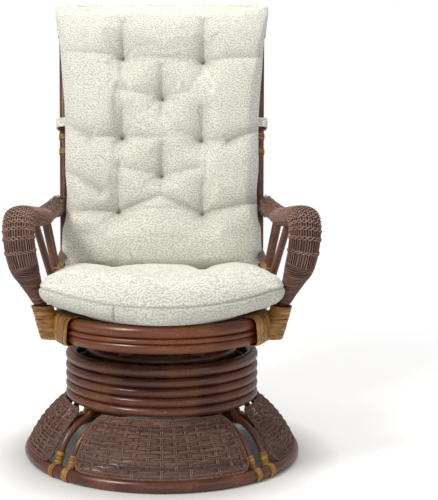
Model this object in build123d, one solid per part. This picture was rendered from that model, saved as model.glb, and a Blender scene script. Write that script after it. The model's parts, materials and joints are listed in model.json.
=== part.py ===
from build123d import *
import os
from math import cos, degrees, pi, radians, sin, sqrt, tan

# Swivel rocker of bent rattan poles on a woven round base.
# Millimetres. +Z is up, -Y is the front of the chair, +X its left arm seen from the seat.
# The origin is on the floor, on the swivel axis.

# ---------------------------------------------------------------- driving sizes
SEAT_GAP = 0.3              # clearance between pieces that only rest on each other
RUN_GAP = 0.05              # radial clearance of a shaft in its bore

# round base
BASE_RADIUS = 306.0         # centre line of the floor ring
BASE_POLE = 28.0            # pole thickness of the floor ring
BASE_FLAT = 1.0             # worn flat on the underside
LEG_POLE = 15.0             # bent poles between the panels
LEG_SPREAD = 22.0           # each pole of a pair stands this far from the diagonal
LEG_ELBOW_RADIUS = 270.0    # where a leg pole starts to lean in, from the axis
LEG_ELBOW_HEIGHT = 95.0
LEG_TOP_HEIGHT = 200.0
LEG_FOOT_INSET = 4.0        # a leg pole meets the floor ring this far inside its centre line
LEG_DIVE = 16.8             # a leg pole turns upright this far below the drum
LEG_BENDS = [100.0, 38.0]
LEG_BINDING = (0.12, 0.46)  # where its cane binding starts and ends, as shares of the lower run
RING_BINDING_WIDTH = 16.0
BINDING_BUILD = 2.2         # thickness of a cane binding
PANEL_THICKNESS = 7.0
PANEL_HALF_ANGLE = 36.5     # degrees each side of the panel's middle
PANEL_TOP_RADIUS = 224.0    # outer face
PANEL_BULGE = 10.0          # how far the face swells past its chord
PANEL_CORNER = 26.0         # rounded corners of a panel
PANEL_STAND = 7.0           # a panel's foot lies this far outside the floor ring's centre line
PANEL_TRIM = 0.3            # the rims are trimmed by this above and below

# drum of stacked rings
DRUM_RADIUS = 223.5         # outside of the drum
DRUM_POLE = 21.0
DRUM_TOP_POLE = 27.0
DRUM_RINGS = 4              # rings below the thick top one
DRUM_TOP_HEIGHT = 247.0

# swivel and rocker mechanism
CROSS_BAR_WIDTH = 28.0
CROSS_BAR_DEPTH = 28.0
CROSS_BAR_TOP = 166.0
PLATE = 4.0                 # steel plate thickness
SWIVEL_PLATE_RADIUS = 92.0
BALL = 8.0
BALL_COUNT = 20
BALL_CIRCLE = 62.0
CAGE_WALL = 3.0
KING_PIN = 16.0
KING_HEAD = 26.0
KING_HEAD_DEPTH = 6.0
KING_NUT = 24.0
KING_NUT_DEPTH = 9.0
ROCK_HEIGHT = 212.0         # height of the pivot shaft's centre
ROCK_SHAFT = 14.0
EAR_SPACING = 116.0         # between the outer faces of the two ears on the swivel plate
EAR_WIDTH = 44.0
BUSH_WALL = 3.0
BUSH_FLANGE = 2.0
SHAFT_NUT = 22.0
SHAFT_NUT_DEPTH = 8.0
TILT_PLATE_X = 196.0
TILT_PLATE_Y = 184.0
SPRING_X = 36.0
SPRING_Y = 66.0
SPRING_RADIUS = 13.0        # centre line of the coil
SPRING_WIRE = 4.0
SPRING_TURNS = 5
SPRING_PEG = 8.0            # locating peg inside each spring
BUMP_Y = 84.0
BUMP_LENGTH = 28.0
BUMP_DEPTH = 12.0
ROCK_FORWARD = 8.0          # degrees
ROCK_BACK = 10.0
BOLT = 8.0
BOLT_HEAD = 13.0
BOLT_HEAD_DEPTH = 5.0
FLAT_HEAD_DEPTH = 2.5       # flat heads under the turning plate
BOLT_CIRCLE = 76.0

# seat frame
SEAT_RING_RADIUS = 164.0    # dark ring under the seat, centre line
SEAT_RING_POLE = 26.0
SEAT_RING_HEIGHT = 245.0
RAIL_LOWER = 24.0           # pole of the lower rail
RAIL_UPPER = 28.0
RAIL_UPPER_HEIGHT = 341.0
RAIL_GAP = 6.0              # open height between the two rails, closed by the thin pole
RAIL_LOWER_HEIGHT = RAIL_UPPER_HEIGHT - RAIL_UPPER / 2 - RAIL_GAP - RAIL_LOWER / 2
THIN_POLE = 10.0
FRAME_HALF_WIDTH = 243.0    # centre of the posts at the seat
CORNER_X = 237.0            # feet of the arm poles, beside the rails
CORNER_Y = -163.0
FRONT_REACH = 330.0         # front rail at the middle
FRONT_BOW = 222.0           # radius of the front rails' half round bend, centre line
BOW_CENTRE = FRONT_BOW - FRONT_REACH
POST = 24.0
POST_FOOT_Y = 197.0
POST_DROP = 14.0            # posts reach this far under the middle of the lower rail
POST_FOOT_HEIGHT = RAIL_LOWER_HEIGHT - POST_DROP
POST_TOP_HEIGHT = 1052.0
POST_RAKE = 13.5            # degrees
POST_TOP_HALF_WIDTH = 256.0
SLAT = 14.0
SLAT_COUNT = 8
SLAT_FIRST = -240.0         # Y of the foremost slat
SLAT_DROP = 0.5             # slats lie this far under the top of the upper rail
RING_BAR = 30.0
RING_BAR_X = 78.0
BEAM = 32.0
BEAM_SHARE = 0.54           # of the height between the seat ring and the beams' tops
BEAM_Y = 88.0
BEAM_RISE = 9.0
BEAM_TOP = RAIL_LOWER_HEIGHT + BEAM_RISE

# back
BACK_RAIL = 22.0
MID_RAIL_HEIGHT = 712.0
LOW_RAIL_HEIGHT = 470.0
SPINDLE = 15.0
SPINDLE_COUNT = 5
SPINDLE_PITCH = 82.0
POST_BINDING = 14.0         # length of a binding, above and below each end of the middle rail
POST_BINDING_SHIFT = 8.0    # from the rail's edge to the binding's middle

# arms (sizes for the arm on the +X side)
ARM_POLE = 19.0
ARM_DROP = 11.0             # the arm poles reach this far under the middle of the lower rail
ARM_FOOT_HEIGHT = RAIL_LOWER_HEIGHT - ARM_DROP
ARM_ROUTE = [
    (262.0, -190.0, 385.0),
    (294.0, -222.0, 470.0),
    (305.0, -227.0, 571.0),
    (280.0, -10.0, 549.0),
]
ARM_BENDS = [60.0, 150.0, 50.0, 200.0]
ARM_END_X = 263.0
ARM_END_HEIGHT = 557.0
ARM_SKIN = 4.0              # woven skin
TAPER_START = 0.123         # the woven arm, as shares of the route's length
WEAVE_START = 0.247
ARM_END_SHARE = 0.985
ARM_STATION = 34.0          # distance between the sections of the woven tube
TAPER_STATION = 23.0        # and between those of its taper
# share of the route, width across the chair, thickness
ARM_SHAPE = [
    (0.0, 28, 28), (0.123, 28, 28), (0.162, 36, 31), (0.20, 51, 35), (0.225, 60, 37), (0.25, 66, 38),
    (0.30, 68, 40), (0.36, 67, 41), (0.44, 68, 42), (0.54, 68, 42), (0.60, 67, 42), (0.68, 62, 38),
    (0.78, 56, 37), (0.88, 47, 44), (1.0, 40, 58),
]
FOOT_RAIL = 22.0            # side rail that carries the fan of poles
FOOT_RAIL_RISE = 43.0       # its front end over the upper rail
FOOT_RAIL_CLIMB = 62.0      # its back end over its front end
FOOT_RAIL_FRONT = (254.0, -180.0, RAIL_UPPER_HEIGHT + FOOT_RAIL_RISE)
FOOT_RAIL_BACK_HEIGHT = FOOT_RAIL_FRONT[2] + FOOT_RAIL_CLIMB
# thickness, Y of the foot on the side rail, Y of the head under the arm
FAN = [(15.0, -34.0, -112.0), (11.0, -18.0, -58.0), (15.0, 34.0, 36.0), (15.0, 64.0, 72.0)]
FAN_BINDINGS = [(-52.0, -6.0), (20.0, 80.0)]    # from Y to Y along the side rail

# cane wraps on the front corners
WRAP_FOOT = (52.0, 40.0)
WRAP_HEAD = (46.0, 44.0)
WRAP_OVER = 32.0            # the wrap's head over the upper rail
WRAP_UNDER = 1.0            # its foot under the end of the arm pole
WRAP_TOP = RAIL_UPPER_HEIGHT + WRAP_OVER
WRAP_BOTTOM = ARM_FOOT_HEIGHT - WRAP_UNDER
SLEEVE_START = 74.0         # the sleeve's ends on the bend, in degrees from its front
SLEEVE_END = 54.5
SLEEVE_STATIONS = 5
SLEEVE_BUILD = 3.0
WRAP_SET_BACK = 2.0         # the head of the wrap lies this far in and forward of the leg

# cushions
CUSHION_FRONT = 344.0
CUSHION_LOBE_X = 247.0      # front corners, at the arms
CUSHION_WAIST_X = 236.0     # between the arms
LOBE_Y = -205.0             # where the lobes are widest, and where the waist starts
WAIST_Y = -120.0
LOBE_RUN = (34.0, 52.0)     # the corner's rounding, inwards and forwards of its widest point
LOBE_MIDDLE = (9.0, 26.0)
FRONT_MIDDLE = (0.52, 0.9215)   # a point of the front curve, as shares of the corner's X and the front
CORNER_TUCK = [(6.0, 100.0, 0.0), (1.0, 62.0, 0.28), (0.0, 34.0, 0.55), (1.0, 7.0, 0.82), (2.0, 0.0, 1.0)]
WAIST_HOLLOW = 3.0
BACK_ROUND = 42.0           # rear corners
CUSHION_BACK_Y = 160.0
CUSHION_SEAM = 42.0         # height of the boxed edge
CUSHION_CROWN = 54.0        # crown over the boxed edge
BACK_CUSHION = 94.0         # thickness of the back cushion
BACK_CUSHION_LIFT = 89.0    # its lower edge over the upper rail
BACK_CUSHION_FOOT = RAIL_UPPER_HEIGHT + BACK_CUSHION_LIFT
BACK_CUSHION_HALF = 234.0
# share of its height, width and thickness as shares of the largest
BACK_SHAPE = [
    (0.0, 0.90, 0.55), (0.06, 0.99, 0.88), (0.25, 1.0, 1.0), (0.50, 0.985, 0.98),
    (0.72, 0.975, 0.92), (0.90, 1.03, 0.80), (0.975, 1.11, 0.62), (1.0, 1.09, 0.36),
]
HOOD_HALF = 274.0
HOOD_DEPTH = 62.0
HOOD_WALL = 12.0
HOOD_TOP = 12.0
HOOD_FRONT = 17.0           # how far the hood reaches in front of the posts' centre
HOOD_CORNER = 6.0
TUFT_SPREAD = 46.8          # radius and depth of a tuft's hollow in the back cushion
TUFT_DEPTH = 23.4
SEAT_TUFT_SPREAD = 41.6
SEAT_TUFT_DEPTH = 10.9
TIE_HEIGHT = 759.0
TIE_WIDTH = 24.0
TIE_CLOTH = 3.9
TIE_DEPTH = 61.8            # front to back, over the cloth
TIE_CORNER = 14.0
TIE_FORWARD = 14.4          # its middle lies this far in front of the post's centre

nodes = {}


# ---------------------------------------------------------------- shape helpers
def rod(start, end, thickness):
    """Straight round pole between two centre points."""
    axis = Vector(*end) - Vector(*start)
    shape = Cylinder(thickness / 2, axis.length, align=(Align.CENTER, Align.CENTER, Align.MIN))
    return Plane(origin=start, z_dir=axis) * shape


def bent_pole(points, bends, thickness):
    """Round pole along straight runs joined by tangent arcs."""
    route = FilletPolyline(*points, radius=bends)
    section = Plane(origin=route @ 0, z_dir=route % 0) * Circle(thickness / 2)
    return sweep(section, path=route)


def bowed_pole(start, middle, end, thickness):
    """Round pole along one arc through three points."""
    route = ThreePointArc(start, middle, end)
    section = Plane(origin=route @ 0, z_dir=route % 0) * Circle(thickness / 2)
    return sweep(section, path=route)


def ring(radius, thickness, height):
    """Pole bent into a level ring about the swivel axis."""
    return Pos(0, 0, height) * Torus(radius, thickness / 2)


def tube(start, end, outer, inner):
    """Round sleeve between two centre points."""
    run = Vector(*end) - Vector(*start)
    over = run.normalized()
    return rod(start, end, outer) - rod(Vector(*start) - over, Vector(*end) + over, inner)


def plate(x, y, bottom, thickness, corner):
    """Flat rectangular plate with rounded corners, centred on the swivel axis."""
    return extrude(Pos(0, 0, bottom) * RectangleRounded(x, y, corner), thickness)


def disc(radius, bottom, thickness):
    return Pos(0, 0, bottom) * Cylinder(radius, thickness, align=(Align.CENTER, Align.CENTER, Align.MIN))


def upright(x, y, radius, bottom, height):
    """Vertical round bar or hole at a point in plan."""
    return Pos(x, y, 0) * disc(radius, bottom, height)


def oval(plane, width, thickness):
    """Flattened round outline made of four arcs, in the given plane."""
    a, b, k = width / 2, thickness / 2, cos(radians(45))
    arcs = [
        ThreePointArc((a * k, b * k), (0, b), (-a * k, b * k)),
        ThreePointArc((-a * k, b * k), (-a, 0), (-a * k, -b * k)),
        ThreePointArc((-a * k, -b * k), (0, -b), (a * k, -b * k)),
        ThreePointArc((a * k, -b * k), (a, 0), (a * k, b * k)),
    ]
    return plane * make_face(arcs)


def both_sides(shape):
    """The piece and its mirror image on the other side of the chair."""
    return [shape, mirror(shape, about=Plane.YZ)]


def group(shapes):
    """Several separate solids of one kind."""
    solids = [solid for shape in shapes for solid in shape.solids()]
    return Compound(children=solids)


def keep_largest(shape):
    """The main piece that a cut leaves."""
    return max(shape.solids(), key=lambda solid: solid.volume)


# ---------------------------------------------------------------- round base
BASE_HEIGHT = BASE_POLE / 2 - BASE_FLAT
BASE_TOP = BASE_HEIGHT + BASE_POLE / 2
PANEL_FOOT_RADIUS = BASE_RADIUS + PANEL_STAND
SMALL_RING_RADIUS = DRUM_RADIUS - DRUM_POLE / 2
TOP_RING_RADIUS = DRUM_RADIUS - DRUM_TOP_POLE / 2
TOP_RING_HEIGHT = DRUM_TOP_HEIGHT - DRUM_TOP_POLE / 2
DRUM_FOOT = DRUM_TOP_HEIGHT - DRUM_TOP_POLE - DRUM_RINGS * (DRUM_POLE + SEAT_GAP)
LEG_INNER = sqrt((SMALL_RING_RADIUS - DRUM_POLE / 2 - SEAT_GAP - LEG_POLE / 2) ** 2 - LEG_SPREAD ** 2)


def base_ring():
    below = disc(BASE_RADIUS + BASE_POLE, -BASE_POLE, BASE_POLE)
    return ring(BASE_RADIUS, BASE_POLE, BASE_HEIGHT) - below


def leg_route(offset):
    """Centre line of a leg pole: up from the floor ring, in under the drum, then up inside it."""
    foot = sqrt((BASE_RADIUS - LEG_FOOT_INSET) ** 2 - offset ** 2)
    dive = DRUM_FOOT - LEG_DIVE
    points = [(foot, offset, BASE_HEIGHT), (LEG_ELBOW_RADIUS, offset, LEG_ELBOW_HEIGHT)]
    return points + [(LEG_INNER, offset, dive), (LEG_INNER, offset, LEG_TOP_HEIGHT)]


def leg_pair():
    """Two leg poles on the +X axis, coped onto the floor ring."""
    floor_ring = ring(BASE_RADIUS, BASE_POLE + 2 * SEAT_GAP, BASE_HEIGHT)
    pair = []
    for offset in (-LEG_SPREAD, LEG_SPREAD):
        pole = bent_pole(leg_route(offset), LEG_BENDS, LEG_POLE)
        pair.append(keep_largest(pole - floor_ring))
    return pair


def foot_bindings():
    """Cane sleeves round the lower ends of one pair of leg poles."""
    floor_ring = ring(BASE_RADIUS, BASE_POLE + 2 * BINDING_BUILD + 4 * SEAT_GAP, BASE_HEIGHT)
    sleeves = []
    for offset in (-LEG_SPREAD, LEG_SPREAD):
        foot, elbow = [Vector(*point) for point in leg_route(offset)[:2]]
        start, end = [foot + (elbow - foot) * share for share in LEG_BINDING]
        sleeve = tube(start, end, LEG_POLE + 2 * BINDING_BUILD, LEG_POLE + 2 * RUN_GAP)
        sleeves.append(keep_largest(sleeve - floor_ring))
    return sleeves


def ring_bindings():
    """Cane wraps round the floor ring on both sides of each pair of leg poles."""
    wraps = []
    width = degrees(RING_BINDING_WIDTH / BASE_RADIUS)
    middle = degrees(LEG_SPREAD / BASE_RADIUS)
    outer, inner = BASE_POLE / 2 + BINDING_BUILD, BASE_POLE / 2 + RUN_GAP
    section = Plane.XZ * Pos(BASE_RADIUS, BASE_HEIGHT) * (Circle(outer) - Circle(inner))
    wrap = revolve(section, Axis.Z, revolution_arc=width)
    wrap = wrap - disc(BASE_RADIUS + BASE_POLE, -BASE_POLE, BASE_POLE)
    for angle in (-middle, middle):
        cut = wrap.rotate(Axis.Z, angle - width / 2)
        for offset in (-LEG_SPREAD, LEG_SPREAD):
            foot, elbow = leg_route(offset)[:2]
            cut = cut - rod(foot, elbow, LEG_POLE + 2 * SEAT_GAP)
        wraps.append(keep_largest(cut))
    return wraps


def skirt_panel():
    """Woven panel on the +X side: a bulging band turned about the swivel axis."""
    foot = Vector(PANEL_FOOT_RADIUS, 0, BASE_TOP)
    top = Vector(PANEL_TOP_RADIUS, 0, DRUM_FOOT - SEAT_GAP)
    chord = top - foot
    outward = Vector(chord.Z, 0, -chord.X).normalized()
    middle = foot + chord * 0.5 + outward * PANEL_BULGE
    slope = PANEL_THICKNESS / outward.X
    inner = [foot - Vector(slope, 0, 0), middle - outward * PANEL_THICKNESS, top - Vector(slope, 0, 0)]
    outline = [
        ThreePointArc(foot, middle, top),
        Line(top, inner[2]),
        ThreePointArc(inner[2], inner[1], inner[0]),
        Line(inner[0], foot),
    ]
    half_turn = 1.2 * PANEL_HALF_ANGLE
    band = revolve(make_face(outline), Axis.Z, revolution_arc=2 * half_turn).rotate(Axis.Z, -half_turn)
    wide = sin(radians(PANEL_HALF_ANGLE))
    trim = Vector(0, 0, PANEL_TRIM)
    right = [(point.X * wide, point.Z) for point in (foot + trim, middle, top - trim)]
    left = [(-y, z) for y, z in right]
    rim = make_face([
        Line(left[0], right[0]),
        ThreePointArc(*right),
        Line(right[2], left[2]),
        ThreePointArc(left[2], left[1], left[0]),
    ])
    rim = fillet(rim.vertices(), PANEL_CORNER)
    window = extrude(Plane.YZ * rim, 2 * PANEL_FOOT_RADIUS)
    return keep_largest(band & window)


def make_base():
    nodes["base_ring"] = base_ring()
    pair, sleeves, wraps = leg_pair(), foot_bindings(), ring_bindings()
    corners = {"front_right": -45, "rear_right": 45, "rear_left": 135, "front_left": 225}
    for name, angle in corners.items():
        nodes["leg_poles_" + name] = group([pole.rotate(Axis.Z, angle) for pole in pair])
    turned = [sleeve.rotate(Axis.Z, angle) for angle in corners.values() for sleeve in sleeves]
    nodes["leg_bindings"] = group(turned)
    turned = [wrap.rotate(Axis.Z, angle) for angle in corners.values() for wrap in wraps]
    nodes["base_ring_bindings"] = group(turned)
    panel = skirt_panel()
    for name, angle in {"right": 0, "rear": 90, "left": 180, "front": 270}.items():
        nodes["skirt_panel_" + name] = panel.rotate(Axis.Z, angle)
    nodes["drum_ring_top"] = ring(TOP_RING_RADIUS, DRUM_TOP_POLE, TOP_RING_HEIGHT)
    for count in range(DRUM_RINGS):
        below = DRUM_TOP_HEIGHT - DRUM_TOP_POLE - (count + 0.5) * (DRUM_POLE + SEAT_GAP) - SEAT_GAP / 2
        nodes["drum_ring_" + str(count + 1)] = ring(SMALL_RING_RADIUS, DRUM_POLE, below)


# ---------------------------------------------------------------- mechanism
BASE_PLATE_TOP = CROSS_BAR_TOP + SEAT_GAP + PLATE
SWIVEL_PLATE_BOTTOM = BASE_PLATE_TOP + BALL + 2 * SEAT_GAP
SWIVEL_PLATE_TOP = SWIVEL_PLATE_BOTTOM + PLATE
TILT_PLATE_TOP = SEAT_RING_HEIGHT + SEAT_RING_POLE / 2
TILT_PLATE_BOTTOM = TILT_PLATE_TOP - PLATE
BUSH_OUTER = ROCK_SHAFT + 2 * BUSH_WALL
TILT_EAR_INNER = EAR_SPACING / 2 + BUSH_FLANGE + 2 * SEAT_GAP
SHAFT_REACH = TILT_EAR_INNER + PLATE + BUSH_FLANGE + SEAT_GAP
PEG_RADIUS = SPRING_RADIUS - SPRING_WIRE / 2 - 1


def bolt_points(radius, first):
    return [Vector(radius, 0, 0).rotate(Axis.Z, first + 90 * count) for count in range(4)]


def cross_bars():
    """Two bars halved into each other, from ring wall to ring wall, between the poles of each pair."""
    reach = SMALL_RING_RADIUS - DRUM_POLE / 2 - SEAT_GAP
    length = 2 * sqrt(reach ** 2 - (CROSS_BAR_WIDTH / 2) ** 2)
    middle = CROSS_BAR_TOP - CROSS_BAR_DEPTH / 2
    bars = []
    for angle, side in ((45, 1), (-45, -1)):
        bar = Pos(0, 0, middle) * Box(length, CROSS_BAR_WIDTH, CROSS_BAR_DEPTH)
        notch_depth = CROSS_BAR_DEPTH / 2 + SEAT_GAP / 2
        notch_middle = middle + side * (CROSS_BAR_DEPTH / 2 - notch_depth / 2 + 1)
        notch_size = CROSS_BAR_WIDTH + 2 * SEAT_GAP
        bar = bar - Pos(0, 0, notch_middle) * Box(notch_size, notch_size, notch_depth + 2)
        bar = bar.rotate(Axis.Z, angle)
        bar = bar - disc(KING_HEAD / 2 + 1, CROSS_BAR_TOP - KING_HEAD_DEPTH - 1, KING_HEAD_DEPTH + 3)
        for point in bolt_points(BOLT_CIRCLE, 45):
            bar = bar - upright(point.X, point.Y, BOLT / 2 + RUN_GAP, 0, CROSS_BAR_TOP + 1)
        bars.append(bar)
    return bars


def hex_head(x, y, across, bottom, depth):
    return Pos(x, y, bottom) * extrude(RegularPolygon(across / 2, 6, major_radius=False), depth)


def washer_plate():
    """Fixed plate of the swivel, with its bolt holes and the king pin's hole."""
    body = disc(SWIVEL_PLATE_RADIUS, CROSS_BAR_TOP + SEAT_GAP, PLATE)
    body = body - disc(KING_PIN / 2 + RUN_GAP, CROSS_BAR_TOP, 2 * PLATE)
    for point in bolt_points(BOLT_CIRCLE, 45):
        body = body - upright(point.X, point.Y, BOLT / 2 + RUN_GAP, CROSS_BAR_TOP, 2 * PLATE)
    return body


def mounting_bolts():
    """Bolts through the fixed plate and the cross bars, flat heads on top, nuts below."""
    bolts = []
    for point in bolt_points(BOLT_CIRCLE, 45):
        head = upright(point.X, point.Y, BOLT_HEAD / 2, BASE_PLATE_TOP, FLAT_HEAD_DEPTH)
        shank_bottom = CROSS_BAR_TOP - CROSS_BAR_DEPTH - BOLT_HEAD_DEPTH - SEAT_GAP - 1
        shank = upright(point.X, point.Y, BOLT / 2, shank_bottom, BASE_PLATE_TOP - shank_bottom + 1)
        nut_bottom = CROSS_BAR_TOP - CROSS_BAR_DEPTH - BOLT_HEAD_DEPTH - SEAT_GAP
        nut = hex_head(point.X, point.Y, BOLT_HEAD, nut_bottom, BOLT_HEAD_DEPTH)
        bolts.append(head + shank + nut)
    return group(bolts)


def king_pin():
    """Headed pin held by the fixed plate; the swivel plate turns on it."""
    top = SWIVEL_PLATE_TOP + 2 * SEAT_GAP + KING_NUT_DEPTH + 1
    bottom = CROSS_BAR_TOP + SEAT_GAP - KING_HEAD_DEPTH
    pin = disc(KING_HEAD / 2, bottom, KING_HEAD_DEPTH) + disc(KING_PIN / 2, bottom, top - bottom)
    return pin


def king_nut():
    bottom = SWIVEL_PLATE_TOP + SEAT_GAP
    nut = hex_head(0, 0, KING_NUT, bottom, KING_NUT_DEPTH)
    return nut - disc(KING_PIN / 2 + RUN_GAP, bottom - 1, KING_NUT_DEPTH + 2)


def bearing_balls():
    middle = BASE_PLATE_TOP + SEAT_GAP + BALL / 2
    return group([Rot(0, 0, 360 * count / BALL_COUNT) * Pos(BALL_CIRCLE, 0, middle) * Sphere(BALL / 2)
                  for count in range(BALL_COUNT)])


def ball_cage():
    bottom = BASE_PLATE_TOP + SEAT_GAP + BALL / 2 - CAGE_WALL / 2
    half = BALL / 2 + CAGE_WALL
    cage = disc(BALL_CIRCLE + half, bottom, CAGE_WALL) - disc(BALL_CIRCLE - half, bottom - 1, CAGE_WALL + 2)
    for count in range(BALL_COUNT):
        hole = upright(BALL_CIRCLE, 0, BALL / 2 + SEAT_GAP, bottom - 1, CAGE_WALL + 2)
        cage = cage - Rot(0, 0, 360 * count / BALL_COUNT) * hole
    return cage


def ear(x, width, thickness, low, high, bore):
    """Upright plate across the rock axis, round about the shaft, with its bore."""
    straight = Pos(x, 0, (low + high) / 2) * Box(thickness, width, high - low)
    shaft_round = Plane(origin=(x, 0, ROCK_HEIGHT), z_dir=(1, 0, 0))
    eye = shaft_round * Cylinder(width / 2, thickness)
    hole = shaft_round * Cylinder(bore / 2, thickness + 2)
    return straight + eye - hole


def spring_points():
    return [(x, y) for y in (-SPRING_Y, SPRING_Y) for x in (-SPRING_X, SPRING_X)]


def swivel_plate():
    """Turning plate with the two welded ears that hold the pivot shaft."""
    body = disc(SWIVEL_PLATE_RADIUS, SWIVEL_PLATE_BOTTOM, PLATE)
    body = body - disc(KING_PIN / 2 + RUN_GAP, SWIVEL_PLATE_BOTTOM - 1, PLATE + 2)
    ear_middle = EAR_SPACING / 2 - PLATE / 2
    for side in (-1, 1):
        bore = ROCK_SHAFT + 2 * RUN_GAP
        body = body + ear(side * ear_middle, EAR_WIDTH, PLATE, SWIVEL_PLATE_TOP - 1, ROCK_HEIGHT, bore)
    for x, y in spring_points():
        body = body + upright(x, y, PEG_RADIUS, SWIVEL_PLATE_TOP - 1, SPRING_PEG + 1)
    return body


def pivot_shaft():
    end = SHAFT_REACH + SHAFT_NUT_DEPTH
    return rod((-end, 0, ROCK_HEIGHT), (end, 0, ROCK_HEIGHT), ROCK_SHAFT)


def shaft_nuts():
    nuts = []
    for side in (-1, 1):
        face = Plane(origin=(side * (SHAFT_REACH + SEAT_GAP), 0, ROCK_HEIGHT), z_dir=(side, 0, 0))
        nut = face * extrude(RegularPolygon(SHAFT_NUT / 2, 6, major_radius=False), SHAFT_NUT_DEPTH)
        bore = face * Cylinder(ROCK_SHAFT / 2 + RUN_GAP, 3 * SHAFT_NUT_DEPTH)
        nuts.append(nut - bore)
    return group(nuts)


def pivot_bushes():
    """Flanged nylon bushes in the tilt bracket's ears, flange towards the swivel ears."""
    bushes = []
    for side in (-1, 1):
        inner = side * (TILT_EAR_INNER - BUSH_FLANGE)
        outer = side * (TILT_EAR_INNER + PLATE + BUSH_FLANGE - SEAT_GAP)
        seat = side * TILT_EAR_INNER
        sleeve = rod((inner, 0, ROCK_HEIGHT), (outer, 0, ROCK_HEIGHT), BUSH_OUTER)
        flange = rod((inner, 0, ROCK_HEIGHT), (seat - side * RUN_GAP, 0, ROCK_HEIGHT), BUSH_OUTER + 6)
        bore = rod((inner - side, 0, ROCK_HEIGHT), (outer + side, 0, ROCK_HEIGHT), ROCK_SHAFT + 2 * RUN_GAP)
        bushes.append(sleeve + flange - bore)
    return group(bushes)


def tilt_bracket():
    """Top plate of the rocker with two ears that hang on the shaft."""
    body = plate(TILT_PLATE_X, TILT_PLATE_Y, TILT_PLATE_BOTTOM, PLATE, 14)
    for side in (-1, 1):
        middle = side * (TILT_EAR_INNER + PLATE / 2)
        bore = BUSH_OUTER + 2 * RUN_GAP
        body = body + ear(middle, EAR_WIDTH, PLATE, ROCK_HEIGHT, TILT_PLATE_BOTTOM + 1, bore)
    for x, y in spring_points():
        body = body + upright(x, y, PEG_RADIUS, TILT_PLATE_BOTTOM - SPRING_PEG, SPRING_PEG + 1)
    for x, y in tilt_bolt_points():
        body = body - upright(x, y, BOLT / 2 + RUN_GAP, TILT_PLATE_BOTTOM - 1, PLATE + 2)
    return body


def tilt_bolt_points():
    return [(x, y) for x in (-RING_BAR_X, RING_BAR_X) for y in (-TILT_PLATE_Y / 3, TILT_PLATE_Y / 3)]


def arc_pair(start, start_way, end, end_way):
    """Two arcs that leave start and reach end along the given directions."""
    across = end - start
    ways = start_way + end_way
    spread = 2 * (1 - start_way.dot(end_way))
    along = across.dot(ways)
    reach = (sqrt(along ** 2 + spread * across.dot(across)) - along) / spread
    meeting = (start + end + (start_way - end_way) * reach) * 0.5
    meeting_way = (end - end_way * reach) - (start + start_way * reach)
    return [TangentArc(start, meeting, tangent=start_way), TangentArc(meeting, end, tangent=meeting_way)]


def coil_spring(x, y):
    """Compression spring: one unbroken wire, a quarter turn to each pair of arcs."""
    low = SWIVEL_PLATE_TOP + SPRING_WIRE / 2 + SEAT_GAP
    high = TILT_PLATE_BOTTOM - SPRING_WIRE / 2 - SEAT_GAP
    climb = (high - low) / (2 * pi * SPRING_TURNS)
    steps = 4 * SPRING_TURNS
    wire = []
    for step in range(steps):
        ends = []
        for angle in (step * pi / 2, (step + 1) * pi / 2):
            out_x, out_y = SPRING_RADIUS * cos(angle), SPRING_RADIUS * sin(angle)
            way = Vector(-out_y, out_x, climb).normalized()
            ends += [Vector(x + out_x, y + out_y, low + climb * angle), way]
        wire += arc_pair(*ends)
    route = Wire(wire)
    section = Plane(origin=route @ 0, z_dir=route % 0) * Circle(SPRING_WIRE / 2)
    return sweep(section, path=route)


def bump_stops():
    """Rubber blocks that the tilt plate meets at the ends of its travel."""
    blocks = []
    for side, limit in ((-1, ROCK_FORWARD), (1, ROCK_BACK)):
        reach = BUMP_Y + BUMP_DEPTH / 2
        lift = TILT_PLATE_BOTTOM - ROCK_HEIGHT
        meeting = ROCK_HEIGHT + lift * cos(radians(limit)) - reach * sin(radians(limit))
        height = meeting - SWIVEL_PLATE_TOP - 2 * SEAT_GAP
        middle = SWIVEL_PLATE_TOP + SEAT_GAP + height / 2
        blocks.append(Pos(0, side * BUMP_Y, middle) * Box(BUMP_LENGTH, BUMP_DEPTH, height))
    return group(blocks)


def make_mechanism():
    nodes["drum_cross_bars"] = group(cross_bars())
    nodes["swivel_base_plate"] = washer_plate()
    nodes["base_plate_bolts"] = mounting_bolts()
    nodes["king_pin"] = king_pin()
    nodes["king_nut"] = king_nut()
    nodes["bearing_balls"] = bearing_balls()
    nodes["ball_cage"] = ball_cage()
    nodes["swivel_top_plate"] = swivel_plate()
    nodes["pivot_shaft"] = pivot_shaft()
    nodes["shaft_nuts"] = shaft_nuts()
    nodes["bump_stops"] = bump_stops()
    nodes["pivot_bushes"] = pivot_bushes()
    nodes["tilt_bracket"] = tilt_bracket()
    nodes["springs_front"] = group([coil_spring(x, -SPRING_Y) for x in (-SPRING_X, SPRING_X)])
    nodes["springs_rear"] = group([coil_spring(x, SPRING_Y) for x in (-SPRING_X, SPRING_X)])


# ---------------------------------------------------------------- seat frame
RAKE = tan(radians(POST_RAKE))
THIN_HEIGHT = (RAIL_UPPER_HEIGHT - RAIL_UPPER / 2 + RAIL_LOWER_HEIGHT + RAIL_LOWER / 2) / 2
POST_SPLAY = (POST_TOP_HALF_WIDTH - FRAME_HALF_WIDTH) / (POST_TOP_HEIGHT - POST_FOOT_HEIGHT)


def post_point(height, side=1):
    """Centre of a back post at a height."""
    rise = height - POST_FOOT_HEIGHT
    return Vector(side * (FRAME_HALF_WIDTH + POST_SPLAY * rise), POST_FOOT_Y + RAKE * rise, height)


def back_post(extra=0.0):
    return rod(post_point(POST_FOOT_HEIGHT - extra), post_point(POST_TOP_HEIGHT + extra), POST + 2 * extra)


def arm_points():
    """Corners of the arm's route on the +X side, from the seat corner to the back post."""
    foot = (CORNER_X, CORNER_Y, ARM_FOOT_HEIGHT)
    end = post_point(ARM_END_HEIGHT)
    finish = (ARM_END_X, end.Y, ARM_END_HEIGHT)
    return [foot] + ARM_ROUTE + [finish]


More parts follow.
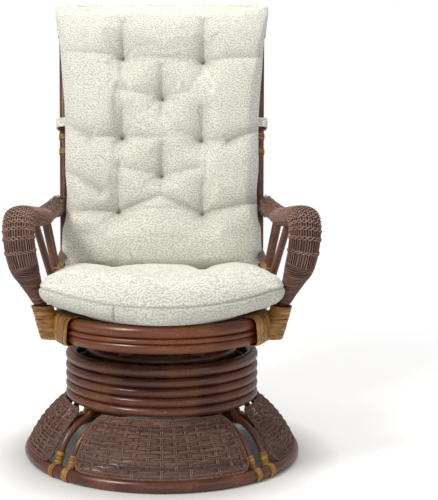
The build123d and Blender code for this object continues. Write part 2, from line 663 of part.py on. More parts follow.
def arm_pole(extra=0.0):
    return bent_pole(arm_points(), ARM_BENDS, ARM_POLE + 2 * extra)


def arm_size(share):
    """Width and thickness of the woven arm at a share of its route."""
    for low, high in zip(ARM_SHAPE, ARM_SHAPE[1:]):
        if share <= high[0]:
            mix = (share - low[0]) / (high[0] - low[0])
            return low[1] + mix * (high[1] - low[1]), low[2] + mix * (high[2] - low[2])
    return ARM_SHAPE[-1][1], ARM_SHAPE[-1][2]


def arm_section(route, share, inset):
    """Flattened round section of the arm, square to its route, its width across the chair."""
    way = route % share
    across = (Vector(1, 0, 0) - way * way.X).normalized()
    width, thickness = arm_size(share)
    level = Plane(origin=route @ share, x_dir=across, z_dir=way)
    return oval(level, width - 2 * inset, thickness - 2 * inset)


def arm_skin(start, end, station):
    """Hollow woven tube between two shares of the arm's route, its sections a station apart."""
    route = FilletPolyline(*arm_points(), radius=ARM_BENDS)
    steps = round((end - start) * route.length / station)
    shares = [start + (end - start) * step / steps for step in range(steps + 1)]
    outer = loft([arm_section(route, share, 0) for share in shares], ruled=True)
    inner = loft([arm_section(route, share, ARM_SKIN) for share in shares], ruled=True)
    return outer, outer - inner


def front_rail(thickness, height, proud=0.0):
    """Half round front rail, standing proud of the common arc."""
    reach = FRONT_BOW + proud
    start, end = (-reach, BOW_CENTRE, height), (reach, BOW_CENTRE, height)
    return bowed_pole(start, (0, BOW_CENTRE - reach, height), end, thickness)


def side_rail(thickness, height):
    """Straight rail on the +X side, from the end of the front bend to the back post."""
    corner, back = Vector(FRONT_BOW, BOW_CENTRE, height), post_point(height)
    start = corner - (back - corner).normalized() * thickness
    ahead = Pos(FRONT_BOW, BOW_CENTRE + SEAT_GAP - FRONT_BOW, height) * Box(*[2 * FRONT_BOW] * 3)
    return rod(start, back, thickness) - ahead


def thin_reach():
    """How far out the thin pole lies so that it touches both rails."""
    drop = (RAIL_UPPER_HEIGHT - RAIL_LOWER_HEIGHT - RAIL_UPPER / 2 - RAIL_LOWER / 2) / 2
    above = RAIL_UPPER / 2 + drop
    span = RAIL_UPPER / 2 + THIN_POLE / 2 + SEAT_GAP
    return sqrt(span ** 2 - above ** 2)


def side_reach(y):
    """Distance of the side rails from the middle of the seat, at a Y."""
    back = post_point(RAIL_UPPER_HEIGHT)
    return FRONT_BOW + (back.X - FRONT_BOW) * (y - BOW_CENTRE) / (back.Y - BOW_CENTRE)


def slat(count, thickness):
    """One round slat across the seat, level with the upper rails."""
    last = POST_FOOT_Y - 2 * SLAT
    y = SLAT_FIRST + (last - SLAT_FIRST) * count / (SLAT_COUNT - 1)
    height = RAIL_UPPER_HEIGHT + RAIL_UPPER / 2 - SLAT / 2 - SLAT_DROP
    return rod((-FRAME_HALF_WIDTH, y, height), (FRAME_HALF_WIDTH, y, height), thickness)


def beam_height():
    """The beams and the bars under them share the height over the seat ring."""
    return (BEAM_TOP - SEAT_RING_HEIGHT - SEAT_RING_POLE / 2) * BEAM_SHARE


def make_seat_frame():
    nodes["seat_ring"] = ring(SEAT_RING_RADIUS, SEAT_RING_POLE, SEAT_RING_HEIGHT)
    ring_top = SEAT_RING_HEIGHT + SEAT_RING_POLE / 2
    bar_bottom = ring_top + SEAT_GAP
    beam_bottom = BEAM_TOP - beam_height()
    bar_height = beam_bottom - SEAT_GAP - bar_bottom
    bars = []
    for side in (-1, 1):
        middle = Pos(side * RING_BAR_X, 0, bar_bottom + bar_height / 2)
        bar = middle * Box(RING_BAR, 2 * SEAT_RING_RADIUS, bar_height)
        for x, y in tilt_bolt_points():
            bar = bar - upright(x, y, BOLT / 2 + RUN_GAP, bar_bottom - 1, bar_height + 2)
        bars.append(bar)
    nodes["ring_bars"] = group(bars)
    bolts = []
    for x, y in tilt_bolt_points():
        bottom = TILT_PLATE_BOTTOM - BOLT_HEAD_DEPTH
        shank = upright(x, y, BOLT / 2, bottom, bar_bottom + bar_height - bottom - SEAT_GAP)
        bolts.append(shank + hex_head(x, y, BOLT_HEAD, bottom, BOLT_HEAD_DEPTH))
    nodes["tilt_bracket_bolts"] = group(bolts)

    leg_cut = both_sides(arm_pole(SEAT_GAP))
    post_cut = both_sides(back_post(SEAT_GAP))
    rails = {
        "front_rail_upper": front_rail(RAIL_UPPER, RAIL_UPPER_HEIGHT),
        "front_rail_lower": front_rail(RAIL_LOWER, RAIL_LOWER_HEIGHT),
        "front_rail_thin": front_rail(THIN_POLE, THIN_HEIGHT, thin_reach()),
    }
    for name, rail in rails.items():
        nodes[name] = keep_largest(rail - leg_cut[0] - leg_cut[1])
    levels = ((RAIL_UPPER, RAIL_UPPER_HEIGHT), (RAIL_LOWER, RAIL_LOWER_HEIGHT))
    side, rear = [], []
    for thickness, height in levels:
        back = post_point(height)
        side.append(keep_largest(side_rail(thickness, height) - post_cut[0]))
        rear.append(keep_largest(rod(post_point(height, -1), back, thickness) - post_cut[0] - post_cut[1]))
    rear_cut = [rod(post_point(height, -1), post_point(height), thickness + 2 * SEAT_GAP)
                for thickness, height in levels]
    side = [keep_largest(rail - cut) for rail, cut in zip(side, rear_cut)]
    nodes["side_rails_right"] = group(side)
    nodes["side_rails_left"] = group([mirror(rail, about=Plane.YZ) for rail in side])
    nodes["rear_rails"] = group(rear)

    side_cut = both_sides(side_rail(RAIL_UPPER + 2 * SEAT_GAP, RAIL_UPPER_HEIGHT))
    low_cut = both_sides(side_rail(RAIL_LOWER + 2 * SEAT_GAP, RAIL_LOWER_HEIGHT))
    front_cut = front_rail(RAIL_UPPER + 2 * SEAT_GAP, RAIL_UPPER_HEIGHT)
    nodes["seat_slats"] = group([
        keep_largest(slat(count, SLAT) - side_cut[0] - side_cut[1] - front_cut)
        for count in range(SLAT_COUNT)
    ])
    beams = []
    for y in (-BEAM_Y, BEAM_Y):
        beam = Pos(0, y, BEAM_TOP - beam_height() / 2) * Box(2 * side_reach(y), BEAM, beam_height())
        beams.append(keep_largest(beam - low_cut[0] - low_cut[1] - side_cut[0] - side_cut[1]))
    nodes["seat_beams"] = group(beams)


# ---------------------------------------------------------------- back
def make_back():
    post = back_post()
    nodes["back_post_right"] = post
    nodes["back_post_left"] = mirror(post, about=Plane.YZ)
    post_cut = both_sides(back_post(SEAT_GAP))
    heights = {"top": POST_TOP_HEIGHT - BACK_RAIL, "middle": MID_RAIL_HEIGHT, "low": LOW_RAIL_HEIGHT}
    rails, cuts = {}, {}
    for name, height in heights.items():
        left, right = post_point(height, -1), post_point(height)
        rails[name] = keep_largest(rod(left, right, BACK_RAIL) - post_cut[0] - post_cut[1])
        cuts[name] = rod(left, right, BACK_RAIL + 2 * SEAT_GAP)
    nodes["back_top_rail"] = rails["top"]
    nodes["back_cross_rails"] = group([rails["middle"], rails["low"]])
    spindles = []
    for low, high in (("low", "middle"), ("middle", "top")):
        for count in range(SPINDLE_COUNT):
            x = (count - (SPINDLE_COUNT - 1) / 2) * SPINDLE_PITCH
            start, end = post_point(heights[low]), post_point(heights[high])
            spindle = rod((x, start.Y, start.Z), (x, end.Y, end.Z), SPINDLE) - cuts[low] - cuts[high]
            spindles.append(keep_largest(spindle))
    nodes["back_spindles"] = group(spindles)
    sleeves = []
    for shift in (-1, 1):
        middle = heights["middle"] + shift * (BACK_RAIL / 2 + POST_BINDING_SHIFT)
        low, high = post_point(middle - POST_BINDING / 2), post_point(middle + POST_BINDING / 2)
        sleeve = tube(low, high, POST + 2 * BINDING_BUILD, POST + 2 * RUN_GAP) - cuts["middle"]
        sleeves += both_sides(keep_largest(sleeve))
    nodes["post_bindings"] = group(sleeves)


# ---------------------------------------------------------------- arms
def make_arms():
    post_cut = back_post(SEAT_GAP)
    pole = keep_largest(arm_pole() - post_cut)
    nodes["arm_pole_right"] = pole
    nodes["arm_pole_left"] = mirror(pole, about=Plane.YZ)
    gap_share = SEAT_GAP / FilletPolyline(*arm_points(), radius=ARM_BENDS).length
    weave_outer, weave = arm_skin(WEAVE_START, ARM_END_SHARE, ARM_STATION)
    weave = keep_largest(weave - post_cut)
    taper = arm_skin(TAPER_START, WEAVE_START - gap_share, TAPER_STATION)[1]
    nodes["arm_weave_right"] = weave
    nodes["arm_weave_left"] = mirror(weave, about=Plane.YZ)
    nodes["arm_tapers"] = group(both_sides(taper))

    back_end = post_point(FOOT_RAIL_BACK_HEIGHT)
    rail = rod(FOOT_RAIL_FRONT, back_end, FOOT_RAIL)
    taper_outer = arm_skin(TAPER_START, WEAVE_START, TAPER_STATION)[0]
    rail = keep_largest(rail - taper_outer - arm_pole(SEAT_GAP) - post_cut)
    nodes["arm_foot_rails"] = group(both_sides(rail))

    start, span = Vector(*FOOT_RAIL_FRONT), back_end - Vector(*FOOT_RAIL_FRONT)
    route = FilletPolyline(*arm_points(), radius=ARM_BENDS)
    rail_cut = rod(FOOT_RAIL_FRONT, back_end, FOOT_RAIL + 2 * SEAT_GAP)
    fan, fan_cut = [], []
    for thickness, foot_y, head_y in FAN:
        foot = start + span * ((foot_y - start.Y) / span.Y)
        share = arm_share_at(route, head_y)
        head = route @ share
        brace = rod(foot, head, thickness) - weave_outer - rail_cut
        fan.append(keep_largest(brace))
        fan_cut.append(rod(foot, head, thickness + 2 * RUN_GAP))
    nodes["arm_braces"] = group([side for brace in fan for side in both_sides(brace)])

    bindings = []
    for low_y, high_y in FAN_BINDINGS:
        low = start + span * ((low_y - start.Y) / span.Y)
        high = start + span * ((high_y - start.Y) / span.Y)
        sleeve = tube(low, high, FOOT_RAIL + 2 * BINDING_BUILD, FOOT_RAIL + 2 * RUN_GAP)
        for cut in fan_cut:
            sleeve = sleeve - cut
        bindings.append(keep_largest(sleeve))
    nodes["arm_foot_bindings"] = group([side for sleeve in bindings for side in both_sides(sleeve)])


def arm_share_at(route, y):
    """Share of the route where the arm's top run is at the given Y."""
    low, high = 0.55, 1.0
    for _ in range(30):
        middle = (low + high) / 2
        if (route @ middle).Y < y:
            low = middle
        else:
            high = middle
    return low


def make_corner_wraps():
    """Cane wraps: an upright one round the leg, and a sleeve round the front rails beside it."""
    rise = (WRAP_TOP - ARM_FOOT_HEIGHT) / (ARM_ROUTE[0][2] - ARM_FOOT_HEIGHT)
    head_x = CORNER_X + (ARM_ROUTE[0][0] - CORNER_X) * rise - WRAP_SET_BACK
    head_y = CORNER_Y + (ARM_ROUTE[0][1] - CORNER_Y) * rise - WRAP_SET_BACK
    foot = oval(Plane(origin=(CORNER_X, CORNER_Y, WRAP_BOTTOM)), *WRAP_FOOT)
    head = oval(Plane(origin=(head_x, head_y, WRAP_TOP)), *WRAP_HEAD)
    block = loft([foot, head])
    middle_height = (RAIL_UPPER_HEIGHT + RAIL_UPPER / 2 + RAIL_LOWER_HEIGHT - RAIL_LOWER / 2) / 2
    tall = RAIL_UPPER_HEIGHT + RAIL_UPPER / 2 - RAIL_LOWER_HEIGHT + RAIL_LOWER / 2 + 2 * SLEEVE_BUILD
    deep = RAIL_UPPER + 2 * SLEEVE_BUILD
    stations = []
    for count in range(SLEEVE_STATIONS):
        angle = radians(SLEEVE_START + (SLEEVE_END - SLEEVE_START) * count / (SLEEVE_STATIONS - 1))
        reach = FRONT_BOW + thin_reach() / 3
        centre = (reach * sin(angle), BOW_CENTRE - reach * cos(angle), middle_height)
        plane = Plane(origin=centre, x_dir=(0, 0, 1), z_dir=(-cos(angle), -sin(angle), 0))
        stations.append(plane * RectangleRounded(tall, deep + thin_reach(), deep * 0.35))
    sleeve = loft(stations)
    cutters = [arm_pole(RUN_GAP), front_rail(RAIL_UPPER + 2 * RUN_GAP, RAIL_UPPER_HEIGHT),
               front_rail(RAIL_LOWER + 2 * RUN_GAP, RAIL_LOWER_HEIGHT),
               front_rail(THIN_POLE + 2 * RUN_GAP, THIN_HEIGHT, thin_reach())]
    cutters.append(arm_skin(TAPER_START, WEAVE_START, TAPER_STATION)[0])
    cutters += [slat(count, SLAT + 2 * RUN_GAP) for count in range(SLAT_COUNT)]
    wrap = block + sleeve
    for cutter in cutters:
        wrap = wrap - cutter
    wrap = keep_largest(wrap)
    nodes["corner_wraps"] = group(both_sides(wrap))


# ---------------------------------------------------------------- cushions
def seat_outline(inset, height, tuck=0.0):
    """Plan outline of the seat cushion: bowed front, corners tucked in from their widest, a waist."""
    front, lobe, waist = CUSHION_FRONT - inset, CUSHION_LOBE_X - inset - tuck, CUSHION_WAIST_X - inset
    back = CUSHION_BACK_Y - inset
    round_start = (lobe - LOBE_RUN[0], LOBE_Y - LOBE_RUN[1], height)
    round_middle = (lobe - LOBE_MIDDLE[0], LOBE_Y - LOBE_MIDDLE[1], height)
    round_end = (lobe, LOBE_Y, height)
    turn_start, turn_end = (waist, back - BACK_ROUND, height), (waist - BACK_ROUND, back, height)
    front_middle = (lobe * FRONT_MIDDLE[0], -front * FRONT_MIDDLE[1], height)
    right = [
        ThreePointArc((0, -front, height), front_middle, round_start),
        ThreePointArc(round_start, round_middle, round_end),
        Line(round_end, (waist, WAIST_Y, height)),
        ThreePointArc((waist, WAIST_Y, height), (waist - WAIST_HOLLOW, 0, height), turn_start),
        ThreePointArc(turn_start, (waist - 0.3 * BACK_ROUND, back - 0.3 * BACK_ROUND, height), turn_end),
        Line(turn_end, (0, back, height)),
    ]
    left = [mirror(edge, about=Plane.YZ) for edge in right]
    return make_face(right + left)


def dimple(point, radius, depth):
    """Round hollow of a tuft, sunk by depth below a point on the cushion's top."""
    reach = (radius ** 2 + depth ** 2) / (2 * depth)
    return Pos(point[0], point[1], point[2] + reach - depth) * Sphere(reach)


def seat_cushion():
    bottom = RAIL_UPPER_HEIGHT + RAIL_UPPER / 2 + SEAT_GAP
    body = loft([seat_outline(inset, bottom + share * CUSHION_SEAM, tuck)
                 for inset, tuck, share in CORNER_TUCK])
    crown_levels = [(2.0, 0.0), (9.0, 0.34), (28.0, 0.68), (64.0, 1.0)]
    crown = loft([seat_outline(inset, bottom + CUSHION_SEAM + share * CUSHION_CROWN)
                  for inset, share in crown_levels])
    body = body + crown
    top = bottom + CUSHION_SEAM + CUSHION_CROWN
    for x, y in seat_tufts():
        body = body - dimple((x, y, top), SEAT_TUFT_SPREAD, SEAT_TUFT_DEPTH)
    return body


def seat_tufts():
    return [(-88.0, -20.0), (88.0, -20.0), (0.0, -110.0), (-100.0, -200.0), (100.0, -200.0)]


def back_plane(height_along, forward=0.0):
    """Plane square to the posts at a distance up them, Y to the rear."""
    foot = post_point(POST_FOOT_HEIGHT)
    up = Vector(0, sin(radians(POST_RAKE)), cos(radians(POST_RAKE)))
    front = Vector(0, -cos(radians(POST_RAKE)), sin(radians(POST_RAKE)))
    origin = Vector(0, foot.Y, foot.Z) + up * height_along + front * forward
    return Plane(origin=origin, x_dir=(1, 0, 0), z_dir=up)


def along_post(height):
    return (height - POST_FOOT_HEIGHT) / cos(radians(POST_RAKE))


def back_cushion():
    """Back pad with rounded faces, and a hood that slips over the top of the frame."""
    bottom, top = along_post(BACK_CUSHION_FOOT), along_post(POST_TOP_HEIGHT) + HOOD_TOP
    clear = POST / 2 + SEAT_GAP
    faces = []
    for share, wide, deep in BACK_SHAPE:
        depth = BACK_CUSHION * deep
        plane = back_plane(bottom + (top - bottom) * share, clear)
        half, corner = BACK_CUSHION_HALF * wide, depth * 0.46
        outline = [
            Line((-half + corner, 0), (half - corner, 0)),
            ThreePointArc((half - corner, 0), (half, -depth * 0.48), (half - corner, -depth * 0.9)),
            ThreePointArc((half - corner, -depth * 0.9), (0, -depth), (-half + corner, -depth * 0.9)),
            ThreePointArc((-half + corner, -depth * 0.9), (-half, -depth * 0.48), (-half + corner, 0)),
        ]
        faces.append(plane * make_face(outline))
    pad = loft(faces)
    reach, depth = TUFT_SPREAD, TUFT_DEPTH
    ball = (reach ** 2 + depth ** 2) / (2 * depth)
    for x, rise in back_tufts():
        plane = back_plane(bottom + (top - bottom) * rise, clear + BACK_CUSHION)
        pad = pad - plane * Pos(x, -ball + depth, 0) * Sphere(ball)
    hood_back = clear + HOOD_WALL
    outer = back_plane(top - HOOD_DEPTH) * Pos(0, (hood_back - HOOD_FRONT) / 2, HOOD_DEPTH / 2 - 0.5)
    shell = outer * Box(2 * HOOD_HALF, hood_back + HOOD_FRONT, HOOD_DEPTH - 1)
    shell = fillet(shell.edges().filter_by(Axis.X), HOOD_CORNER)
    room = back_plane(top - HOOD_DEPTH) * Pos(0, 0, (HOOD_DEPTH - HOOD_TOP) / 2)
    pocket = room * Box(2 * (POST_TOP_HALF_WIDTH + clear), 2 * clear, HOOD_DEPTH - HOOD_TOP + 4 * SEAT_GAP)
    return keep_largest(pad + shell - pocket)


def back_tufts():
    """Tuft places: across the cushion, and as shares of its height."""
    outer, rows = 96.0, (0.905, 0.55, 0.19)
    tufts = [(side * outer, row) for row in rows for side in (-1, 1)]
    return tufts + [(0.0, 0.735), (0.0, 0.37)]


def tie():
    """Cloth loop that holds the back cushion to the post on the +X side."""
    centre = post_point(TIE_HEIGHT)
    level = Plane(origin=centre, x_dir=(1, 0, 0), z_dir=post_point(TIE_HEIGHT + 1) - centre)
    middle = level * Pos(0, -TIE_FORWARD, 0)
    width = POST + 2 * SEAT_GAP + 2 * TIE_CLOTH
    outer = RectangleRounded(width, TIE_DEPTH, TIE_CORNER)
    inner = RectangleRounded(width - 2 * TIE_CLOTH, TIE_DEPTH - 2 * TIE_CLOTH, TIE_CORNER - TIE_CLOTH + 2)
    return middle * extrude(outer - inner, TIE_WIDTH / 2, both=True)


def make_cushions():
    back = back_cushion()
    nodes["seat_cushion"] = seat_cushion()
    nodes["back_cushion"] = back
    nodes["cushion_ties"] = group(both_sides(keep_largest(tie() - back)))


make_base()
make_mechanism()
make_seat_frame()
make_back()
make_arms()
make_corner_wraps()
make_cushions()

os.makedirs("parts", exist_ok=True)
for name, shape in nodes.items():
    export_step(shape, "parts/" + name + ".step")
print(len(nodes), "nodes")
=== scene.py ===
"""Looks of a rattan swivel rocker, built round its CAD frame.

Metres, in the frame's own axes: +Z is up, -Y is the front of the chair. Sizes below are in
millimetres where their names say nothing else, and MM turns them to metres.
"""

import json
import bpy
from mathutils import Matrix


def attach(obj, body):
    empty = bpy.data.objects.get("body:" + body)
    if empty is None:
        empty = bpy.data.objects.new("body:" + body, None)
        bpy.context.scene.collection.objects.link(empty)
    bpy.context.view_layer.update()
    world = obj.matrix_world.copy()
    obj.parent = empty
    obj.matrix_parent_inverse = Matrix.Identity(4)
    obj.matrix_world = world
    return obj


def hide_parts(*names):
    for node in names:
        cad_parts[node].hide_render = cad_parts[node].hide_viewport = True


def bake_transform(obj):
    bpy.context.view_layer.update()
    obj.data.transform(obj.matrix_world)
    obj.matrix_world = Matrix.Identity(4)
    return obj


bl_info = {
    "name": "Rattan swivel rocker",
    "version": (1, 0, 0),
    "blender": (4, 5, 0),
    "location": "3D View > Sidebar > Rocker",
    "description": "Builds the woven, wound and padded pieces of a swivel rocker round its CAD frame",
    "category": "Object",
}

from math import cos, pi, radians, sin, sqrt, tan

import bpy
import numpy as np
from mathutils import Vector

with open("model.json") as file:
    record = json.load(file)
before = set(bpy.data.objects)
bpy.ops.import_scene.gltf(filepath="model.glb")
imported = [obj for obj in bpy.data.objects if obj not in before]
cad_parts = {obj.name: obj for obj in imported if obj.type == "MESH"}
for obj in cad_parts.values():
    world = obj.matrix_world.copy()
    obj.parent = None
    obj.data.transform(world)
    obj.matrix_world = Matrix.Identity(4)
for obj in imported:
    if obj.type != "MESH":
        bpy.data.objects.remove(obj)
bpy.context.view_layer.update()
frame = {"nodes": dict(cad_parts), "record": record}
MM = 0.001


def linear(code):
    """An sRGB hex colour as linear red, green, blue and alpha."""
    parts = [int(code[i:i + 2], 16) / 255 for i in (1, 3, 5)]
    return tuple(c / 12.92 if c <= 0.04045 else ((c + 0.055) / 1.055) ** 2.4 for c in parts) + (1.0,)


# ---------------------------------------------------------------- sizes and colours
def size(name, description, default, low, high):
    """A length that is given in millimetres and kept in metres."""
    return bpy.props.FloatProperty(name=name, description=description, default=default * MM,
                                   min=low * MM, max=high * MM, unit="LENGTH", precision=4)


def colour(name, description, code):
    """A colour that is given as an sRGB hex code and kept linear."""
    return bpy.props.FloatVectorProperty(name=name, description=description, default=linear(code)[:3],
                                         size=3, min=0, max=1, subtype="COLOR")


class RockerWicker(bpy.types.PropertyGroup):
    """Sizes of the woven and wound pieces"""
    row_pitch: size("Row pitch", "Height of one row of the skirt's weave", 8.7, 5, 20)
    strand: size("Strand", "Width of one fine strand of the skirt", 2.4, 1.5, 6)
    stake_pitch: size("Stake pitch", "Distance between the skirt's double stakes at the floor", 33, 15, 60)
    rope: size("Rope strand", "Thickness of a strand of the plaited rims", 3.0, 1.5, 5)
    arm_strand: size("Arm strand", "Width of a lengthwise strand of the arms", 2.9, 2, 6)
    arm_row: size("Arm row", "Distance between the cross rows of the arms", 15.5, 8, 40)
    winding: size("Winding", "Width of a fine winding on the arm tapers", 2.9, 1.5, 6)
    cane: size("Cane strip", "Width of a strip of the cane bindings", 4.4, 2, 10)


class RockerCushions(bpy.types.PropertyGroup):
    """Sizes and stuffing of the cushions"""
    voxel: size("Voxel", "Grid of the cushions' cloth", 6, 3, 12)
    puff: size("Puff", "Most that the stuffing pushes the cloth out", 10, 0, 30)
    pressure: bpy.props.FloatProperty(name="Pressure", description="Pressure of the stuffing", default=4.0,
                                      min=0, max=20)
    squiggle: size("Squiggle", "Distance between the squiggles of the printed cloth", 5.8, 3, 30)
    crease: size("Crease", "Depth of the creases between the tufts", 25, 0, 40)


class RockerColours(bpy.types.PropertyGroup):
    """Colours of poles, strands, cane and cloth"""
    pole: colour("Pole", "Stained rattan poles", "#5a2e20")
    pole_light: colour("Worn pole", "Lighter parts of the stained poles", "#8a5434")
    rail: colour("Front rail", "Red-brown front rails", "#6e3416")
    wicker: colour("Wicker", "Woven strands of the skirt", "#5c3b2f")
    wicker_light: colour("Worn wicker", "Lighter strands of the skirt", "#95705d")
    arm: colour("Arm wicker", "Woven strands of the arms", "#66463d")
    winding: colour("Winding", "Fine windings of the tapers", "#5c3a30")
    cane: colour("Cane", "Golden cane wraps", "#c49448")
    cane_dark: colour("Dark cane", "Aged edges of the cane wraps", "#8a5a22")
    cloth: colour("Cloth", "Pale ground of the cushion cloth", "#e9e9e1")
    line: colour("Printed line", "Grey-green line that meanders over the cloth", "#c4c5b6")


# ---------------------------------------------------------------- materials
def add(tree, kind, inputs=None, **settings):
    """Adds one node; an input that is given a socket is linked, any other is set."""
    node = tree.nodes.new(kind)
    for key, value in settings.items():
        setattr(node, key, value)
    for key, value in (inputs or {}).items():
        socket = node.inputs[key]
        if isinstance(value, bpy.types.NodeSocket):
            tree.links.new(value, socket)
        else:
            socket.default_value = value
    return node


def blank(name):
    """An empty material, its node tree and its object coordinates."""
    material = bpy.data.materials.new(name)
    material.use_nodes = True
    tree = material.node_tree
    tree.nodes.clear()
    return material, tree, add(tree, "ShaderNodeTexCoord").outputs["Object"]


def shade(rgb, factor=1.0):
    """A colour with its alpha, made darker or lighter by a factor."""
    return tuple(min(1.0, part * factor) for part in rgb) + (1.0,)


def lacquered_pole(name, dark, light, gloss=0.24):
    """Bent rattan pole, stained and lacquered: a smooth clear coat over a blotchy stain, with fine
    specks of fibre. Blotches are about 110 mm across and fibres 2.4 mm apart."""
    material, tree, place = blank(name)
    blotch = add(tree, "ShaderNodeTexNoise", {"Vector": place, "Scale": 9.0, "Detail": 4.0,
                                              "Distortion": 0.6}).outputs[0]
    fibre = add(tree, "ShaderNodeTexNoise", {"Vector": place, "Scale": 420.0, "Detail": 2.0}).outputs[0]
    worn = add(tree, "ShaderNodeMapRange", {0: blotch, 1: 0.42, 2: 0.72}).outputs[0]
    stain = add(tree, "ShaderNodeMix", {0: worn, 6: shade(dark), 7: shade(light)}, data_type="RGBA").outputs[2]
    speck = add(tree, "ShaderNodeMapRange", {0: fibre, 1: 0.35, 2: 0.62}).outputs[0]
    tinted = add(tree, "ShaderNodeMix", {0: speck, 6: shade(dark, 0.62), 7: stain}, data_type="RGBA").outputs[2]
    rough = add(tree, "ShaderNodeMapRange", {0: blotch, 1: 0.3, 2: 0.7, 3: gloss, 4: gloss + 0.16}).outputs[0]
    bump = add(tree, "ShaderNodeBump", {"Height": fibre, "Distance": 0.0002, "Strength": 0.35}).outputs[0]
    shader = add(tree, "ShaderNodeBsdfPrincipled", {"Base Color": tinted, "Roughness": rough, "Normal": bump,
                                                    "Coat Weight": 0.2, "Coat Roughness": 0.2})
    add(tree, "ShaderNodeOutputMaterial", {"Surface": shader.outputs[0]})
    return material


def woven_strand(name, dark, light, rough=0.5, along=900.0):
    """Round rattan core or split cane, stained: each strand has its own tone, dull across its fine
    fibres, which run along it about 1 mm apart."""
    material, tree, place = blank(name)
    own = add(tree, "ShaderNodeAttribute", attribute_name="tone").outputs["Fac"]
    run = add(tree, "ShaderNodeUVMap", uv_map="run").outputs[0]
    laid = add(tree, "ShaderNodeMapping", {"Vector": run, "Scale": (28.0, along, 1.0)}).outputs[0]
    fibre = add(tree, "ShaderNodeTexNoise", {"Vector": laid, "Scale": 1.0, "Detail": 2.0}).outputs[0]
    blotch = add(tree, "ShaderNodeTexNoise", {"Vector": place, "Scale": 16.0, "Detail": 3.0}).outputs[0]
    summed = add(tree, "ShaderNodeMath", {0: own, 1: blotch}, operation="ADD").outputs[0]
    worn = add(tree, "ShaderNodeMapRange", {0: summed, 1: 0.55, 2: 1.45}).outputs[0]
    stain = add(tree, "ShaderNodeMix", {0: worn, 6: shade(dark), 7: shade(light)}, data_type="RGBA").outputs[2]
    line = add(tree, "ShaderNodeMapRange", {0: fibre, 1: 0.34, 2: 0.6}).outputs[0]
    tinted = add(tree, "ShaderNodeMix", {0: line, 6: shade(dark, 0.55), 7: stain}, data_type="RGBA").outputs[2]
    dull = add(tree, "ShaderNodeMapRange", {0: fibre, 1: 0.3, 2: 0.7, 3: rough + 0.12, 4: rough - 0.08}).outputs[0]
    bump = add(tree, "ShaderNodeBump", {"Height": fibre, "Distance": 0.0003, "Strength": 0.5}).outputs[0]
    shader = add(tree, "ShaderNodeBsdfPrincipled", {"Base Color": tinted, "Roughness": dull, "Normal": bump})
    add(tree, "ShaderNodeOutputMaterial", {"Surface": shader.outputs[0]})
    return material


def printed_cloth(name, ground, line, spacing):
    """Cotton twill printed with a meandering line, matt with a soft sheen, and darkened with painted shade in its
    folds and seams.
    Its threads are drawn 2.9 mm apart so that they show; real ones are finer."""
    material, tree, place = blank(name)
    warp = add(tree, "ShaderNodeTexNoise", {"Vector": place, "Scale": 26.0, "Detail": 1.0}).outputs[1]
    moved = add(tree, "ShaderNodeVectorMath", {0: warp, "Scale": 0.006}, operation="SCALE").outputs[0]
    wandering = add(tree, "ShaderNodeVectorMath", {0: place, 1: moved}, operation="ADD").outputs[0]
    waves = add(tree, "ShaderNodeTexGabor", {"Vector": wandering, "Scale": 0.5 / spacing, "Frequency": 2.0,
                                             "Anisotropy": 0.0}, gabor_type="3D").outputs[0]
    ink = add(tree, "ShaderNodeMapRange", {0: waves, 1: 0.44, 2: 0.53, 3: 1.0, 4: 0.0}).outputs[0]
    cloud = add(tree, "ShaderNodeTexNoise", {"Vector": place, "Scale": 14.0, "Detail": 3.0}).outputs[0]
    clean = add(tree, "ShaderNodeMapRange", {0: cloud, 1: 0.35, 2: 0.7}).outputs[0]
    pale = add(tree, "ShaderNodeMix", {0: clean, 6: shade(ground, 0.93), 7: shade(ground)},
               data_type="RGBA").outputs[2]
    printed = add(tree, "ShaderNodeMix", {0: ink, 6: pale, 7: shade(line)}, data_type="RGBA").outputs[2]
    # painted shade: the cloth is darkened towards a dark tone of the line colour where it lies in a fold or seam,
    # where shade falls
    painted_shade = add(tree, "ShaderNodeAttribute", attribute_name="painted_shade").outputs["Fac"]
    tinted = add(tree, "ShaderNodeMix", {0: painted_shade, 6: printed, 7: shade(line, 0.30)},
                 data_type="RGBA").outputs[2]
    threads = []
    for turn in ((0.0, 0.0, 0.6), (0.0, 0.6, 2.2)):
        laid = add(tree, "ShaderNodeMapping", {"Vector": place, "Rotation": turn}).outputs[0]
        threads.append(add(tree, "ShaderNodeTexWave", {"Vector": laid, "Scale": 110.0, "Distortion": 0.8,
                                                       "Detail": 1.0}).outputs[1])
    weave = add(tree, "ShaderNodeMath", {0: threads[0], 1: threads[1]}, operation="MULTIPLY").outputs[0]
    bump = add(tree, "ShaderNodeBump", {"Height": weave, "Distance": 0.0003, "Strength": 0.4}).outputs[0]
    shader = add(tree, "ShaderNodeBsdfPrincipled", {"Base Color": tinted, "Roughness": 0.9, "Normal": bump,
                                                    "Sheen Weight": 0.25, "Sheen Roughness": 0.5})
    add(tree, "ShaderNodeOutputMaterial", {"Surface": shader.outputs[0]})
    return material


def hard_metal(name, tint, rough, metallic=1.0, wear=0.15):
    """Pressed, turned or moulded part of the mechanism: even colour with faint smears in its gloss,
    about 17 mm across."""
    material, tree, place = blank(name)
    smear = add(tree, "ShaderNodeTexNoise", {"Vector": place, "Scale": 60.0, "Detail": 4.0}).outputs[0]
    clean = add(tree, "ShaderNodeMapRange", {0: smear, 1: 0.3, 2: 0.7}).outputs[0]
    tinted = add(tree, "ShaderNodeMix", {0: clean, 6: shade(tint, 1.0 - wear), 7: shade(tint)},
                 data_type="RGBA").outputs[2]
    dull = add(tree, "ShaderNodeMapRange", {0: smear, 1: 0.3, 2: 0.7, 3: rough, 4: rough + 0.2}).outputs[0]
    bump = add(tree, "ShaderNodeBump", {"Height": smear, "Distance": 0.0001, "Strength": 0.2}).outputs[0]
    shader = add(tree, "ShaderNodeBsdfPrincipled", {"Base Color": tinted, "Roughness": dull, "Normal": bump,
                                                    "Metallic": metallic})
    add(tree, "ShaderNodeOutputMaterial", {"Surface": shader.outputs[0]})
    return material


